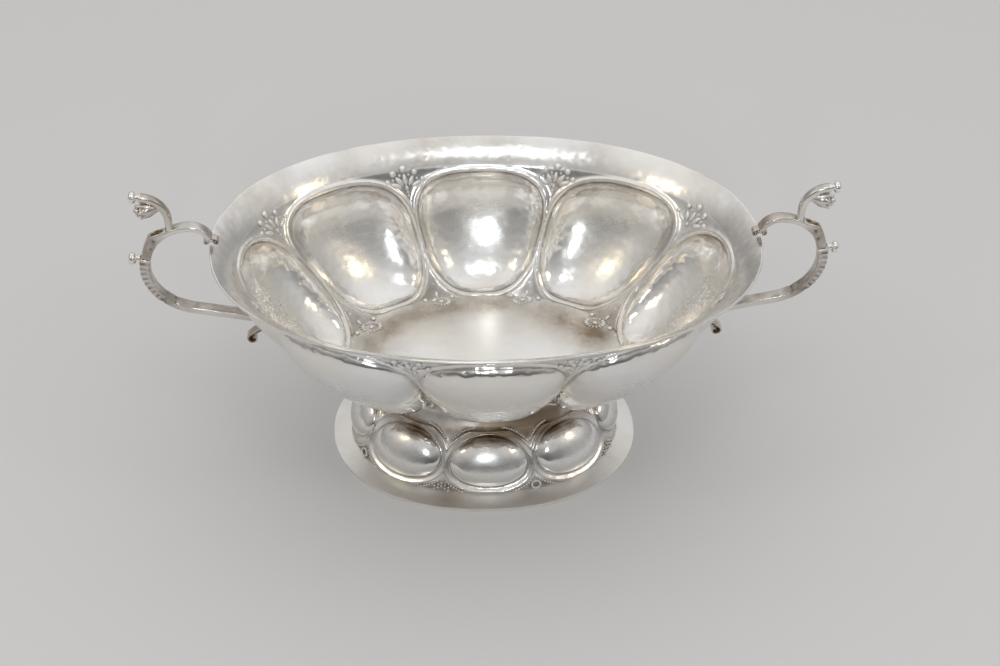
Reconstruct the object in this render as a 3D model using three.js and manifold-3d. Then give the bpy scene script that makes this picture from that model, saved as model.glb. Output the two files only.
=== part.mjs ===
// Lobed silver brandy bowl: an oval raised bowl on an oval raised foot, with two cast scroll handles.
// Millimetres, +Z up. The origin is on the table, under the middle of the foot.
import * as THREE from 'three';
import { mergeVertices } from 'three/addons/utils/BufferGeometryUtils.js';
import Module from 'manifold-3d';

const wasm = await Module();
wasm.setup();

// Driving dimensions of the bowl, measured on its outer skin
const rimHalfLength = 85.9;
const rimHalfWidth = 59.5;
const bowlDepth = 45.4;
const ovalSquareness = 2.15;
const sheetGauge = 0.8;
const lipWidth = 7.7;
const lipDrop = 7.5;
const lipFlare = 0.25;
const floorHalfLength = 45;
const floorHalfWidth = 29.5;
const wallSag = 1.6;
const lobeCount = 8;
const lobeBulge = 5.6;
const wallInset = 0.02;

// Driving dimensions of the foot, measured outwards from the oval of its waist
const footHeight = 33.6;
const waistHalfLength = 31;
const waistHalfWidth = 20.7;
const waistHeight = 26.4;
const waistStation = 0.5;
const seatFlare = 6;
const seatFlange = 1.2;
const bossTopHeight = 20;
const bossTopFlare = 3.3;
const bossFootHeight = 2.6;
const bossFootFlare = 12.9;
const bossZoneSag = 1.2;
const bossBulge = 3.4;
const flangeWidth = 6.5;
const flangeEdge = 1.2;
const restWidth = 1.8;
const restRise = 0.4;

// Driving dimensions of the handles, in the upright plane through both rim ends
const strapWidth = 3.5;
const strapHalf = 1.1;
const strapBevel = 0.35;
const armRadius = 6.2;
const armSetOut = -0.8;
const armLift = 0.3;
const armFootRise = 2.6;
const loopReach = 20.1;
const loopHalfHeight = 15.8;
const jointAngle = 15;
const backHalf = 1.4;
const shoulderHalf = 2.7;
const shoulderLength = 7.4;
const shoulderLedge = 5;
const dishHalfLength = 1.9;
const dishHalfWidth = 1.2;
const dishDepth = 0.6;
const lowerTurnHalfLength = 17.8;
const lowerTurnHalfHeight = 16;
const lowerTurnAngle = 78;
const ridgeCount = 9;
const ridgeDepth = 0.5;
const ridgeFoot = 0.1;
const ridgedLength = 16;
const wallOverrun = 3;
const jointCollarThickness = 1;
const jointCollarProud = 0.35;
const scrollWidth = 3;
const scrollRadius = 8.2;
const scrollRoot = 6.2;
const scrollRise = 4.2;
const scrollTipAngle = 95;
const scrollRootHalf = 0.9;
const scrollTipHalf = 1.25;
const budLength = 6.2;
const budRadius = 2.7;
const budRoot = 0.35;
const budBelly = 0.8;
const budLip = 0.86;
const budMouth = 0.72;
const budPlace = 0.65;
const budTilt = 44;
const budLeaves = 6;
const budLeafDepth = 0.1;
const budHollow = 1.4;
const grainCount = 3;
const grainRadius = 0.95;
const beadRadius = 1.95;
const beadHalfThickness = 1.3;
const beadFullness = 0.8;
const beadCollarLength = 0.7;
const beadCollarRadius = 1.35;
const beadNeck = 0.72;
const beadNeckStart = 0.4;
const beadNeckEnd = 0.6;
const voluteRadius = 1.25;
const voluteRise = 1.2;
const voluteSpread = 2.7;
const claspWidth = 0.8;
const tailOut = 7.1;
const tailDrop = 7.4;
const tailRootInset = 1.5;
const tailRootGap = 0.6;
const tailLead = 3.5;
const tailCurlRadius = 1.6;
const tailCurlStart = 60;
const tailCurlTurn = 250;
const tailHalf = 0.7;
const solderSeam = 0.3;

// Fineness of the facets
const lobeRings = 6;
const bossRings = 4;
const neckRows = 4;
const lipRows = 3;
const armSteps = 10;
const ledgeSteps = 3;
const shoulderSteps = 6;
const turnSteps = 6;
const scrollSteps = 11;
const tailSteps = 17;
const budSteps = 5;
const dishFacets = 8;
const dishSteps = 4;
const voluteFacets = 12;
const beadFacets = 12;
const beadSteps = 6;
const grainFineness = 1;
const ovalSamples = 2880;
const wallSamples = 400;
const normalReach = 1e-3;

const rimHeight = footHeight + bowlDepth;
const neckHalfLength = rimHalfLength - lipWidth;
const neckHalfWidth = rimHalfWidth - lipWidth;
const neckHeight = rimHeight - lipDrop;
const degrees = THREE.MathUtils.degToRad;

// Finishes read from the photograph
const finishes = {
  bowl: { color: 0xd9d8d2, metalness: 1, roughness: 0.16 },
  foot: { color: 0xd6d4cb, metalness: 1, roughness: 0.18 },
  strap: { color: 0xc2b8a8, metalness: 1, roughness: 0.28 },
  ornament: { color: 0xb9ad9c, metalness: 1, roughness: 0.34 },
  bead: { color: 0xdcdad4, metalness: 1, roughness: 0.15 },
};

// Closed solid of a geometry, facing outwards
function solidOf(geometry) {
  const bare = geometry.clone();
  bare.deleteAttribute('normal');
  bare.deleteAttribute('uv');
  const merged = mergeVertices(bare);
  const corners = merged.index.array;
  const kept = [];
  for (let i = 0; i < corners.length; i += 3) {
    const [a, b, c] = [corners[i], corners[i + 1], corners[i + 2]];
    if (a !== b && b !== c && c !== a) kept.push(a, b, c);
  }
  const vertProperties = Float32Array.from(merged.attributes.position.array);
  if (enclosedVolume(vertProperties, kept) < 0) kept.reverse();
  return new wasm.Manifold(new wasm.Mesh({ numProp: 3, vertProperties, triVerts: Uint32Array.from(kept) }));
}

function enclosedVolume(places, corners) {
  const at = (i) => new THREE.Vector3().fromArray(places, 3 * i);
  let volume = 0;
  for (let i = 0; i < corners.length; i += 3) {
    volume += at(corners[i]).dot(at(corners[i + 1]).cross(at(corners[i + 2]))) / 6;
  }
  return volume;
}

// Mesh of a solid, with its name and finish
function piece(name, solid, finish) {
  const { vertProperties, triVerts } = solid.getMesh();
  const geometry = new THREE.BufferGeometry();
  geometry.setAttribute('position', new THREE.BufferAttribute(vertProperties, 3));
  geometry.setIndex(new THREE.BufferAttribute(triVerts, 1));
  geometry.computeVertexNormals();
  const mesh = new THREE.Mesh(geometry, new THREE.MeshStandardMaterial(finish));
  mesh.name = name;
  return mesh;
}

// Angle on an oval at a share of the way round it, so that lobes are evenly spaced along its edge
function evenAngles(halfLength, halfWidth) {
  const travelled = [0];
  let last = ovalPoint(halfLength, halfWidth, 0);
  for (let i = 1; i <= ovalSamples; i += 1) {
    const next = ovalPoint(halfLength, halfWidth, (i / ovalSamples) * 2 * Math.PI);
    travelled.push(travelled[i - 1] + next.distanceTo(last));
    last = next;
  }
  return (share) => {
    const wanted = (share - Math.floor(share)) * travelled[ovalSamples];
    let low = 0;
    let high = ovalSamples;
    while (high - low > 1) {
      const middle = (low + high) >> 1;
      if (travelled[middle] > wanted) high = middle;
      else low = middle;
    }
    const part = (wanted - travelled[low]) / (travelled[high] - travelled[low]);
    return ((low + part) / ovalSamples) * 2 * Math.PI;
  };
}

function ovalPoint(halfLength, halfWidth, angle) {
  const [c, s] = [Math.cos(angle), Math.sin(angle)];
  const reach = (Math.abs(c) ** ovalSquareness + Math.abs(s) ** ovalSquareness) ** (-1 / ovalSquareness);
  return new THREE.Vector2(halfLength * reach * c, halfWidth * reach * s);
}

// Place in a lobe's cell of a grid point counted from its middle; the grid's rings follow the lobe's outline
function cellPlace(i, j, rings, lobe, inset) {
  const ring = Math.max(Math.abs(i), Math.abs(j));
  if (ring === 0) return { offset: 0, v: lobe.middle, size: 0 };
  const [across, along] = [i / ring, j / ring];
  const reach = j > 0 ? lobe.top - lobe.middle : lobe.middle - lobe.foot;
  const corner = j > 0 ? lobe.cornerTop : lobe.cornerFoot;
  const edge = (1 - inset) / (Math.abs(across) ** corner + Math.abs(along) ** corner) ** (1 / corner);
  if (ring < rings) {
    const size = Math.sin((Math.PI / 2) * (ring / (rings - 1)));
    const spread = edge * size;
    return { offset: (across * spread * lobe.span) / 2, v: lobe.middle + along * spread * reach, size };
  }
  const border = j > 0 ? lobe.end - lobe.middle : lobe.middle - lobe.start;
  return { offset: across / 2, v: lobe.middle + along * border, size: 1 };
}

// Height of a lobe's dome, from its middle to its outline
function domeHeight(size, { bulge, power, fullness }) {
  return bulge * Math.max(1 - size ** power, 0) ** fullness;
}

// Skin of a raised shell: a place on its oval ground, lifted along the ground's normal
function shellSkin(row, angleAt) {
  const ground = (share, v) => {
    const { halfLength, halfWidth, z } = row(v);
    const flat = ovalPoint(halfLength, halfWidth, angleAt(share));
    return new THREE.Vector3(flat.x, flat.y, z);
  };
  return (share, v, lift) => {
    const along = ground(share + normalReach, v).sub(ground(share - normalReach, v));
    const up = ground(share, v + normalReach).sub(ground(share, v - normalReach));
    const normal = along.cross(up).normalize();
    return ground(share, v).addScaledVector(normal, lift);
  };
}

// Lathe of a list of rings, each ring then bent to its own oval and round its lobes
function raisedSolid(rings, cells) {
  const columns = 2 * cells * lobeCount;
  const profile = rings.map((ring, k) => new THREE.Vector2(k + 1, k));
  const lathe = new THREE.LatheGeometry(profile, columns);
  const places = lathe.attributes.position;
  for (let i = 0; i <= columns; i += 1) {
    const column = i % columns;
    const lobe = Math.floor(column / (2 * cells));
    rings.forEach((ring, j) => {
      const p = ring(lobe, (column % (2 * cells)) - cells);
      places.setXYZ(i * rings.length + j, p.x, p.y, p.z);
    });
  }
  return solidOf(lathe);
}

// Rings of a shell's plain rows, and of the rows that its lobes fill
function plainRings(skin, stations, cells, lift) {
  return stations.map((v) => (lobe, i) => skin((lobe + i / (2 * cells)) / lobeCount, v, lift));
}
function lobedRings(skin, shape, cells, lift, inset) {
  return Array.from({ length: 2 * cells + 1 }, (_, k) => (lobe, i) => {
    const { offset, v, size } = cellPlace(i, k - cells, cells, shape, inset);
    return skin((lobe + offset) / lobeCount, v, domeHeight(size, shape) + lift);
  });
}

// Bowl ground: floor for v from -1 to 0, wall from 0 to 1, everted lip from 1 to 2
function bowlRow(v) {
  if (v <= 0) {
    const out = Math.max(1 + v, 0);
    return { halfLength: floorHalfLength * out, halfWidth: floorHalfWidth * out, z: footHeight };
  }
  if (v <= 1) {
    const sag = 4 * wallSag * v * (1 - v);
    return {
      halfLength: floorHalfLength + (neckHalfLength - floorHalfLength) * v + sag,
      halfWidth: floorHalfWidth + (neckHalfWidth - floorHalfWidth) * v + sag,
      z: footHeight + (neckHeight - footHeight) * v,
    };
  }
  const w = v - 1;
  const out = lipWidth * (w - lipFlare * w * (1 - w));
  return {
    halfLength: neckHalfLength + out,
    halfWidth: neckHalfWidth + out,
    z: neckHeight + (lipDrop - sheetGauge) * (w + lipFlare * w * (1 - w)),
  };
}

// Chased lobe of the bowl: a rounded shield that fills the wall from the floor to the lip
const bowlLobe = {
  start: 0,
  foot: 0.015,
  middle: 0.5,
  top: 0.968,
  end: 1,
  span: 0.975,
  cornerTop: 2.8,
  cornerFoot: 2.9,
  bulge: lobeBulge,
  power: 2.3,
  fullness: 0.6,
};
const bowlSkin = shellSkin(bowlRow, evenAngles(neckHalfLength, neckHalfWidth));
const lipStations = Array.from({ length: lipRows }, (_, k) => 1 + (k + 1) / lipRows);
const onAxis = (z) => () => new THREE.Vector3(0, 0, z);

// Bowl shell, or the same shell grown by a seam for cutting what is soldered to it
function bowlShell(grow) {
  const skin = (lift, inset) => [
    ...lobedRings(bowlSkin, bowlLobe, lobeRings, lift, inset),
    ...plainRings(bowlSkin, lipStations, lobeRings, lift),
  ];
  const outside = [onAxis(footHeight - grow), ...skin(grow, 0)];
  const inside = [...skin(-sheetGauge - grow, wallInset).reverse(), onAxis(footHeight + sheetGauge + grow)];
  return raisedSolid([...outside, ...inside], lobeRings);
}

// Bowl filled to its rim, grown by a seam, for cutting what ends on its wall
function filledBowl(grow) {
  const outside = [
    ...lobedRings(bowlSkin, bowlLobe, lobeRings, grow, 0),
    ...plainRings(bowlSkin, lipStations, lobeRings, grow),
  ];
  return raisedSolid([onAxis(footHeight), ...outside, onAxis(rimHeight)], lobeRings);
}

// Foot ground: seat flange for v from -1 to 0, hollow neck to 1, bosses to 2, flange to 3
function footRow(v) {
  const seatHeight = footHeight - sheetGauge;
  let flare;
  let z;
  if (v <= 0) {
    flare = seatFlare - seatFlange * v;
    z = seatHeight;
  } else if (v <= waistStation) {
    const turn = ((v / waistStation) * Math.PI) / 2;
    flare = seatFlare * (1 - Math.sin(turn));
    z = waistHeight + (seatHeight - waistHeight) * Math.cos(turn);
  } else if (v <= 1) {
    const w = (v - waistStation) / (1 - waistStation);
    flare = bossTopFlare * w * w;
    z = waistHeight + (bossTopHeight - waistHeight) * w;
  } else if (v <= 2) {
    const w = v - 1;
    flare = bossTopFlare + (bossFootFlare - bossTopFlare) * w + 4 * bossZoneSag * w * (1 - w);
    z = bossTopHeight + (bossFootHeight - bossTopHeight) * w;
  } else {
    const w = v - 2;
    flare = bossFootFlare + flangeWidth * w;
    z = bossFootHeight + (flangeEdge - bossFootHeight) * w;
  }
  return { halfLength: waistHalfLength + flare, halfWidth: waistHalfWidth + flare, z };
}

// Chased boss of the foot: an oval dome
const footBoss = {
  start: 1,
  foot: 1.05,
  middle: 1.48,
  top: 1.91,
  end: 2,
  span: 0.9,
  cornerTop: 2.1,
  cornerFoot: 2.1,
  bulge: -bossBulge,
  power: 2.2,
  fullness: 0.62,
};

// The foot is raised from its seat downwards, so its skin normal points inwards and lifts are turned round
const footEdgeAngles = evenAngles(waistHalfLength + bossFootFlare, waistHalfWidth + bossFootFlare);
const footSkin = shellSkin(footRow, footEdgeAngles);

function footShell() {
  const neck = [-1, ...Array.from({ length: neckRows }, (_, k) => k / neckRows)];
  const skin = (lift, inset) => [
    ...plainRings(footSkin, neck, bossRings, lift),
    ...lobedRings(footSkin, footBoss, bossRings, lift, inset),
  ];
  const edge = (inset, z) => (lobe, i) => {
    const p = footSkin((lobe + i / (2 * bossRings)) / lobeCount, 3, 0);
    const { halfLength, halfWidth } = footRow(3);
    return new THREE.Vector3(p.x * (1 - inset / halfLength), p.y * (1 - inset / halfWidth), z);
  };
  const rest = [edge(0, flangeEdge), edge(0, 0), edge(restWidth, 0), edge(restWidth, restRise)];
  const rings = [...skin(0, 0), ...rest, ...skin(sheetGauge, wallInset).reverse()];
  return raisedSolid([...rings, rings[0]], bossRings);
}

// Outline of a strap in its own plane, from its centre line and the half thickness of each side
function strapOutline(path, distances, outer, inner) {
  const length = path.getLength();
  const sides = [[], []];
  for (const s of distances) {
    const p = path.getPoint(s / length);
    const { x, y } = path.getTangent(s / length);
    sides[0].push(new THREE.Vector2(p.x - y * outer(s), p.y + x * outer(s)));
    sides[1].push(new THREE.Vector2(p.x + y * inner(s), p.y - x * inner(s)));
  }
  return new THREE.Shape([...sides[0], ...sides[1].reverse()]);
}

function evenSteps(from, to, count) {
  return Array.from({ length: count + 1 }, (_, k) => from + ((to - from) * k) / count);
}

// Flat bar of a shape drawn in the handle's plane, with softened edges
function plate(shape, width, bevel) {
  const depth = width - 2 * bevel;
  const bar = new THREE.ExtrudeGeometry(shape, {
    depth,
    steps: 1,
    bevelEnabled: bevel > 0,
    bevelThickness: bevel,
    bevelSize: bevel,
    bevelOffset: -bevel,
    bevelSegments: 1,
  });
  return solidOf(bar.rotateX(Math.PI / 2).translate(0, depth / 2, 0));
}

function arc(x, z, radiusX, radiusZ, from, to) {
  return new THREE.EllipseCurve(x, z, radiusX, radiusZ, degrees(from), degrees(to), to < from, 0);
}

function pathOf(...curves) {
  const path = new THREE.CurvePath();
  curves.forEach((curve) => path.add(curve));
  return path;
}

const blend = (from, to, t) => from + (to - from) * THREE.MathUtils.clamp(t, 0, 1);

// Centre line of a handle: the arm rises from the rim, rounds the loop and runs back to the wall
const armTop = new THREE.Vector2(rimHalfLength + armSetOut + armRadius, rimHeight + armRadius + armLift);
const loopMiddle = armTop.y - loopHalfHeight;
const loopBack = rimHalfLength + loopReach;
const armFootAngle = 180 - THREE.MathUtils.radToDeg(Math.asin((armFootRise - armLift) / armRadius));
const upperArm = arc(armTop.x, armTop.y - armRadius, armRadius, armRadius, armFootAngle, 90);
const shoulderTurn = [armTop.x, loopMiddle, loopBack - armTop.x, loopHalfHeight];
const upperBack = arc(...shoulderTurn, 90, jointAngle);
const middleBack = arc(...shoulderTurn, jointAngle, 0);
const lowerTurnCentre = loopBack - lowerTurnHalfLength;
const lowerTurn = arc(lowerTurnCentre, loopMiddle, lowerTurnHalfLength, lowerTurnHalfHeight, 0, -lowerTurnAngle);
const turnEnd = lowerTurn.getPoint(1);
const turnLine = lowerTurn.getTangent(1);

// Place where the lower arm's line meets the outer skin of the end lobe
function wallMeeting() {
  let best = null;
  for (let i = 0; i <= wallSamples; i += 1) {
    const v = i / wallSamples;
    const half = v > bowlLobe.middle ? bowlLobe.top - bowlLobe.middle : bowlLobe.middle - bowlLobe.foot;
    const size = Math.min(Math.abs(v - bowlLobe.middle) / half, 1);
    const p = bowlSkin(0, v, domeHeight(size, bowlLobe));
    const miss = Math.abs((p.x - turnEnd.x) * turnLine.y - (p.z - turnEnd.y) * turnLine.x);
    if (best === null || miss < best.miss) best = { miss, x: p.x, z: p.z };
  }
  return new THREE.Vector2(best.x, best.z);
}
const wallPoint = wallMeeting();
const armOverrun = turnLine.clone().multiplyScalar(wallOverrun);
const lowerArm = new THREE.LineCurve(turnEnd, wallPoint.clone().add(armOverrun));

// Stations along the upper casting where its shoulder's ledge starts and where its corner is
const upperPath = pathOf(upperArm, upperBack);
const cornerAt = upperPath.getLength() - shoulderLength;
const ledgeAt = cornerAt - shoulderLedge;

// Upper casting: plain arm, shoulder with a sloping ledge and a corner, and back
function upperHandle(grow) {
  const armStations = evenSteps(0, ledgeAt, armSteps);
  const ledgeStations = evenSteps(ledgeAt, cornerAt, ledgeSteps).slice(1, -1);
  const backStations = evenSteps(cornerAt, upperPath.getLength(), shoulderSteps);
  const outer = (s) => {
    if (s < cornerAt) return blend(strapHalf, shoulderHalf, (s - ledgeAt) / shoulderLedge) + grow;
    return blend(shoulderHalf, backHalf, (s - cornerAt) / shoulderLength) + grow;
  };
  const inner = (s) => blend(strapHalf, backHalf, (s - cornerAt) / shoulderLength) + grow;
  const outline = strapOutline(upperPath, [...armStations, ...ledgeStations, ...backStations], outer, inner);
  return plate(outline, strapWidth + 2 * grow, strapBevel);
}

// Oval dish sunk in the shoulder's ledge
function shoulderDish() {
  const edge = (s, half) => {
    const share = s / upperPath.getLength();
    const { x, y } = upperPath.getTangent(share);
    return new THREE.Vector2(-y, x).multiplyScalar(half).add(upperPath.getPoint(share));
  };
  const from = edge(ledgeAt, strapHalf);
  const to = edge(cornerAt, shoulderHalf);
  const middle = from.clone().add(to).divideScalar(2);
  const dish = new THREE.SphereGeometry(1, dishFacets, dishSteps);
  dish.scale(dishHalfLength, dishHalfWidth, dishDepth);
  dish.rotateY(-to.sub(from).angle());
  return solidOf(dish.translate(middle.x, 0, middle.y));
}

// Lower casting: overlapping ridges down the back, fading into the plain lower arm
function lowerHandle() {
  const path = pathOf(middleBack, lowerTurn, lowerArm);
  const turnLength = middleBack.getLength() + lowerTurn.getLength();
  const ridgeLength = ridgedLength / ridgeCount;
  const ridges = evenSteps(0, ridgedLength - ridgeLength, ridgeCount - 1);
  const ridgeStations = ridges.flatMap((s) => [s, s + ridgeLength - ridgeFoot]);
  const turnStations = evenSteps(ridgedLength, turnLength, turnSteps);
  const inner = (s) => blend(backHalf, strapHalf, s / turnLength);
  const outer = (s) => {
    if (s >= ridgedLength) return inner(s);
    const crest = ridges.findLast((start) => start <= s);
    return inner(s) + ridgeDepth * (1 - (s - crest) / ridgeLength);
  };
  const distances = [...ridgeStations, ...turnStations, path.getLength()];
  return plate(strapOutline(path, distances, outer, inner), strapWidth, strapBevel);
}

// Slab across the back, square to it, from just above the joint to just below it
function jointSlab(thickness, inside, outside, halfWidth) {
  const p = middleBack.getPoint(0);
  const { x, y } = middleBack.getTangent(0);
  const slab = new THREE.BoxGeometry(inside + outside, 2 * halfWidth, thickness);
  slab.translate((outside - inside) / 2, 0, 0);
  slab.rotateY(-Math.atan2(x, -y));
  return solidOf(slab.translate(p.x, 0, p.y));
}

// Body of revolution about a line that leaves a place in the handle's plane
function turned(profile, facets, place, direction) {
  const lathe = new THREE.LatheGeometry(profile.map(([r, h]) => new THREE.Vector2(r, h)), facets);
  lathe.rotateZ(direction - Math.PI / 2);
  lathe.rotateX(Math.PI / 2);
  return solidOf(lathe.translate(place.x, 0, place.y));
}

// Button bead, thicker in the middle than at its edge
const beadProfile = Array.from({ length: beadSteps + 1 }, (_, k) => {
  const turn = (k / beadSteps) * Math.PI;
  const radius = k === 0 || k === beadSteps ? 0 : beadRadius * Math.sin(turn) ** beadFullness;
  return [radius, beadHalfThickness * (1 - Math.cos(turn))];
});

const collarProfile = [
  [0, 0],
  [beadCollarRadius, 0],
  [beadCollarRadius, beadCollarLength * beadNeckStart],
  [beadCollarRadius * beadNeck, beadCollarLength * beadNeckEnd],
  [beadCollarRadius * beadNeck, beadCollarLength],
  [0, beadCollarLength],
];

function alongLine(start, direction, distance) {
  const step = new THREE.Vector2(Math.cos(direction), Math.sin(direction)).multiplyScalar(distance);
  return step.add(start);
}

// Thumb scroll: rises from the arm just before the shoulder's ledge and curls over outwards
const scrollFoot = shoulderRootPoint();
const scrollCentre = new THREE.Vector2(scrollFoot.x + scrollRadius, scrollFoot.y + scrollRise);
const scrollArc = arc(scrollCentre.x, scrollCentre.y, scrollRadius, scrollRadius, 180, scrollTipAngle);
function shoulderRootPoint() {
  const x = armTop.x + scrollRoot;
  const across = (x - armTop.x) / (loopBack - armTop.x);
  return new THREE.Vector2(x, loopMiddle + loopHalfHeight * Math.sqrt(1 - across * across));
}
function thumbScroll(grow) {
  const stem = new THREE.LineCurve(scrollFoot, new THREE.Vector2(scrollFoot.x, scrollCentre.y));
  const path = pathOf(stem, scrollArc);
  const length = path.getLength();
  const half = (s) => blend(scrollRootHalf, scrollTipHalf, s / length) + grow;
  const outline = strapOutline(path, evenSteps(0, length, scrollSteps), half, half);
  return plate(outline, scrollWidth + 2 * grow, strapBevel);
}

// Leafy bud that hangs from the inner side of the scroll's end, hollow at its mouth
const budDirection = degrees(-90 + budTilt);
const budStart = scrollArc.getPoint(budPlace);
function scrollBud() {
  const mouth = budRadius * budMouth;
  const swell = (h) => {
    if (h > budBelly) return 1 - (1 - budLip) * ((h - budBelly) / (1 - budBelly)) ** 2;
    return budRoot + (1 - budRoot) * Math.sin(((h / budBelly) * Math.PI) / 2);
  };
  const profile = evenSteps(0, 1, budSteps).map((h) => [swell(h) * budRadius, h * budLength]);
  profile.unshift([0, 0]);
  profile.push([mouth, budLength], [mouth, budLength - budHollow], [0, budLength - budHollow]);
  const facets = 3 * budLeaves;
  const lathe = new THREE.LatheGeometry(profile.map(([r, h]) => new THREE.Vector2(r, h)), facets);
  const places = lathe.attributes.position;
  for (let i = 0; i <= facets; i += 1) {
    const leaf = 1 - budLeafDepth * (1 - Math.cos((2 * Math.PI * budLeaves * i) / facets));
    for (let j = 2; j <= budSteps + 1; j += 1) {
      const k = i * profile.length + j;
      places.setXYZ(k, places.getX(k) * leaf, places.getY(k), places.getZ(k) * leaf);
    }
  }
  lathe.rotateZ(budDirection - Math.PI / 2);
  lathe.rotateX(Math.PI / 2);
  return solidOf(lathe.translate(budStart.x, 0, budStart.y));
}

// Seed grains in the bud's mouth
function budGrains() {
  const mouth = alongLine(budStart, budDirection, budLength - budHollow + solderSeam + grainRadius);
  const reach = budRadius * budMouth - grainRadius - solderSeam;
  let cluster = null;
  for (let k = 0; k < grainCount; k += 1) {
    const turn = (k / grainCount) * 2 * Math.PI;
    const grain = new THREE.IcosahedronGeometry(grainRadius, grainFineness);
    const spot = alongLine(mouth, budDirection + Math.PI / 2, Math.cos(turn) * reach);
    grain.translate(spot.x, Math.sin(turn) * reach, spot.y);
    cluster = cluster === null ? solidOf(grain) : cluster.add(solidOf(grain));
  }
  return cluster;
}

// Pair of small volutes that clasp the rim, joined under the foot of the arm
function rimVolutes() {
  const middle = rimHalfLength + armSetOut;
  const height = rimHeight + voluteRise;
  const bridgeTop = rimHeight + armFootRise;
  const bridge = new THREE.BoxGeometry(voluteSpread, strapWidth * claspWidth, bridgeTop - height);
  let pair = solidOf(bridge.translate(middle, 0, (bridgeTop + height) / 2));
  for (const side of [-1, 1]) {
    const curl = new THREE.CylinderGeometry(voluteRadius, voluteRadius, strapWidth, voluteFacets);
    pair = pair.add(solidOf(curl.translate(middle + (side * voluteSpread) / 2, 0, height)));
  }
  return pair.subtract(bowlShell(solderSeam)).subtract(upperHandle(solderSeam));
}

// Tail of the handle: leaves the wall just under the lower arm and curls down, out and back under
function handleTail() {
  const [x, z] = [wallPoint.x + tailOut, wallPoint.y - tailDrop];
  const curl = arc(x, z, tailCurlRadius, tailCurlRadius, tailCurlStart, tailCurlStart - tailCurlTurn);
  const curlStart = curl.getPoint(0);
  const bend = curl.getTangent(0).multiplyScalar(-tailLead).add(curlStart);
  const underArm = strapHalf + tailHalf + tailRootGap;
  const root = new THREE.Vector2(wallPoint.x - tailRootInset, wallPoint.y - underArm);
  const path = pathOf(new THREE.QuadraticBezierCurve(root, bend, curlStart), curl);
  const half = () => tailHalf;
  const outline = strapOutline(path, evenSteps(0, path.getLength(), tailSteps), half, half);
  return plate(outline, strapWidth, 0).subtract(filledBowl(solderSeam));
}

// One handle, on the right side of the bowl
function handlePieces(side) {
  const joint = jointCollarThickness + 2 * solderSeam;
  const gapAtJoint = jointSlab(joint, backHalf + strapWidth, backHalf + strapWidth, strapWidth);
  const collarDepth = backHalf + jointCollarProud;
  const backBeadAngle = 0;
  const jointPoint = middleBack.getPoint(0);
  const backCollarAt = new THREE.Vector2(jointPoint.x + collarDepth + solderSeam, jointPoint.y);
  const backBeadAt = alongLine(backCollarAt, backBeadAngle, beadCollarLength + solderSeam);
  const tip = scrollArc.getPoint(1);
  const tipLine = scrollArc.getTangent(1);
  const tipAngle = Math.atan2(tipLine.y, tipLine.x);
  const tipCollarAt = alongLine(tip, tipAngle, solderSeam);
  const tipBeadAt = alongLine(tipCollarAt, tipAngle, beadCollarLength + solderSeam);
  const name = (part) => `${side}_${part}`;
  const collarHalfWidth = strapWidth / 2 + jointCollarProud;
  const jointCollar = jointSlab(jointCollarThickness, backHalf, collarDepth, collarHalfWidth);
  const upperBar = upperHandle(0).subtract(gapAtJoint).subtract(shoulderDish());
  const lowerBar = lowerHandle().subtract(gapAtJoint).subtract(filledBowl(solderSeam));
  const { strap, ornament, bead: polished } = finishes;
  const knob = (profile, place, direction) => turned(profile, beadFacets, place, direction);
  return [
    piece(name('rim_volutes'), rimVolutes(), ornament),
    piece(name('upper_handle'), upperBar, strap),
    piece(name('joint_collar'), jointCollar, strap),
    piece(name('lower_handle'), lowerBar, strap),
    piece(name('handle_tail'), handleTail(), ornament),
    piece(name('thumb_scroll'), thumbScroll(0).subtract(upperHandle(solderSeam)), strap),
    piece(name('scroll_bud'), scrollBud().subtract(thumbScroll(solderSeam)), ornament),
    piece(name('bud_grains'), budGrains(), ornament),
    piece(name('thumb_bead_collar'), knob(collarProfile, tipCollarAt, tipAngle), polished),
    piece(name('thumb_bead'), knob(beadProfile, tipBeadAt, tipAngle), polished),
    piece(name('back_bead_collar'), knob(collarProfile, backCollarAt, backBeadAngle), polished),
    piece(name('back_bead'), knob(beadProfile, backBeadAt, backBeadAngle), polished),
  ];
}

const brandyBowl = new THREE.Group();
brandyBowl.add(piece('bowl_body', bowlShell(0), finishes.bowl));
brandyBowl.add(piece('foot', footShell(), finishes.foot));

for (const side of ['right', 'left']) {
  const handle = new THREE.Group();
  handlePieces(side).forEach((mesh) => handle.add(mesh));
  if (side === 'left') handle.rotation.z = Math.PI;
  brandyBowl.add(handle);
}

export default brandyBowl;
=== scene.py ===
# Lobed silver brandy bowl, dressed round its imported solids. Shapes are worked in millimetres.
from bisect import bisect_right
from math import asin, atan2, copysign, cos, degrees, exp, hypot, pi, radians, sin, sqrt
from types import SimpleNamespace

import bmesh
import bpy
from mathutils import Matrix, Vector, noise


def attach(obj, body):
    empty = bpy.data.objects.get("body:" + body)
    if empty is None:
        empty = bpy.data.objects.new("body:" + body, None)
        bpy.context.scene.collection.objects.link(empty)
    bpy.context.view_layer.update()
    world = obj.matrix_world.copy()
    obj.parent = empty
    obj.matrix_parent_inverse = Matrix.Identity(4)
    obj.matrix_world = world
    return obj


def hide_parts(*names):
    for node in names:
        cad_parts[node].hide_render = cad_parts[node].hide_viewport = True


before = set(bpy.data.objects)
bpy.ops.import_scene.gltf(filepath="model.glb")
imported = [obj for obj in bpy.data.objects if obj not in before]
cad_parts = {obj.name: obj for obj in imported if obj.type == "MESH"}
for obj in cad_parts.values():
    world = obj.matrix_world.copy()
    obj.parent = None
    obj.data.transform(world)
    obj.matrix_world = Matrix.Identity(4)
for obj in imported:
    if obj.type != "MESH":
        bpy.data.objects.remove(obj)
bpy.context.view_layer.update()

MILLIMETRE = 0.001

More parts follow.
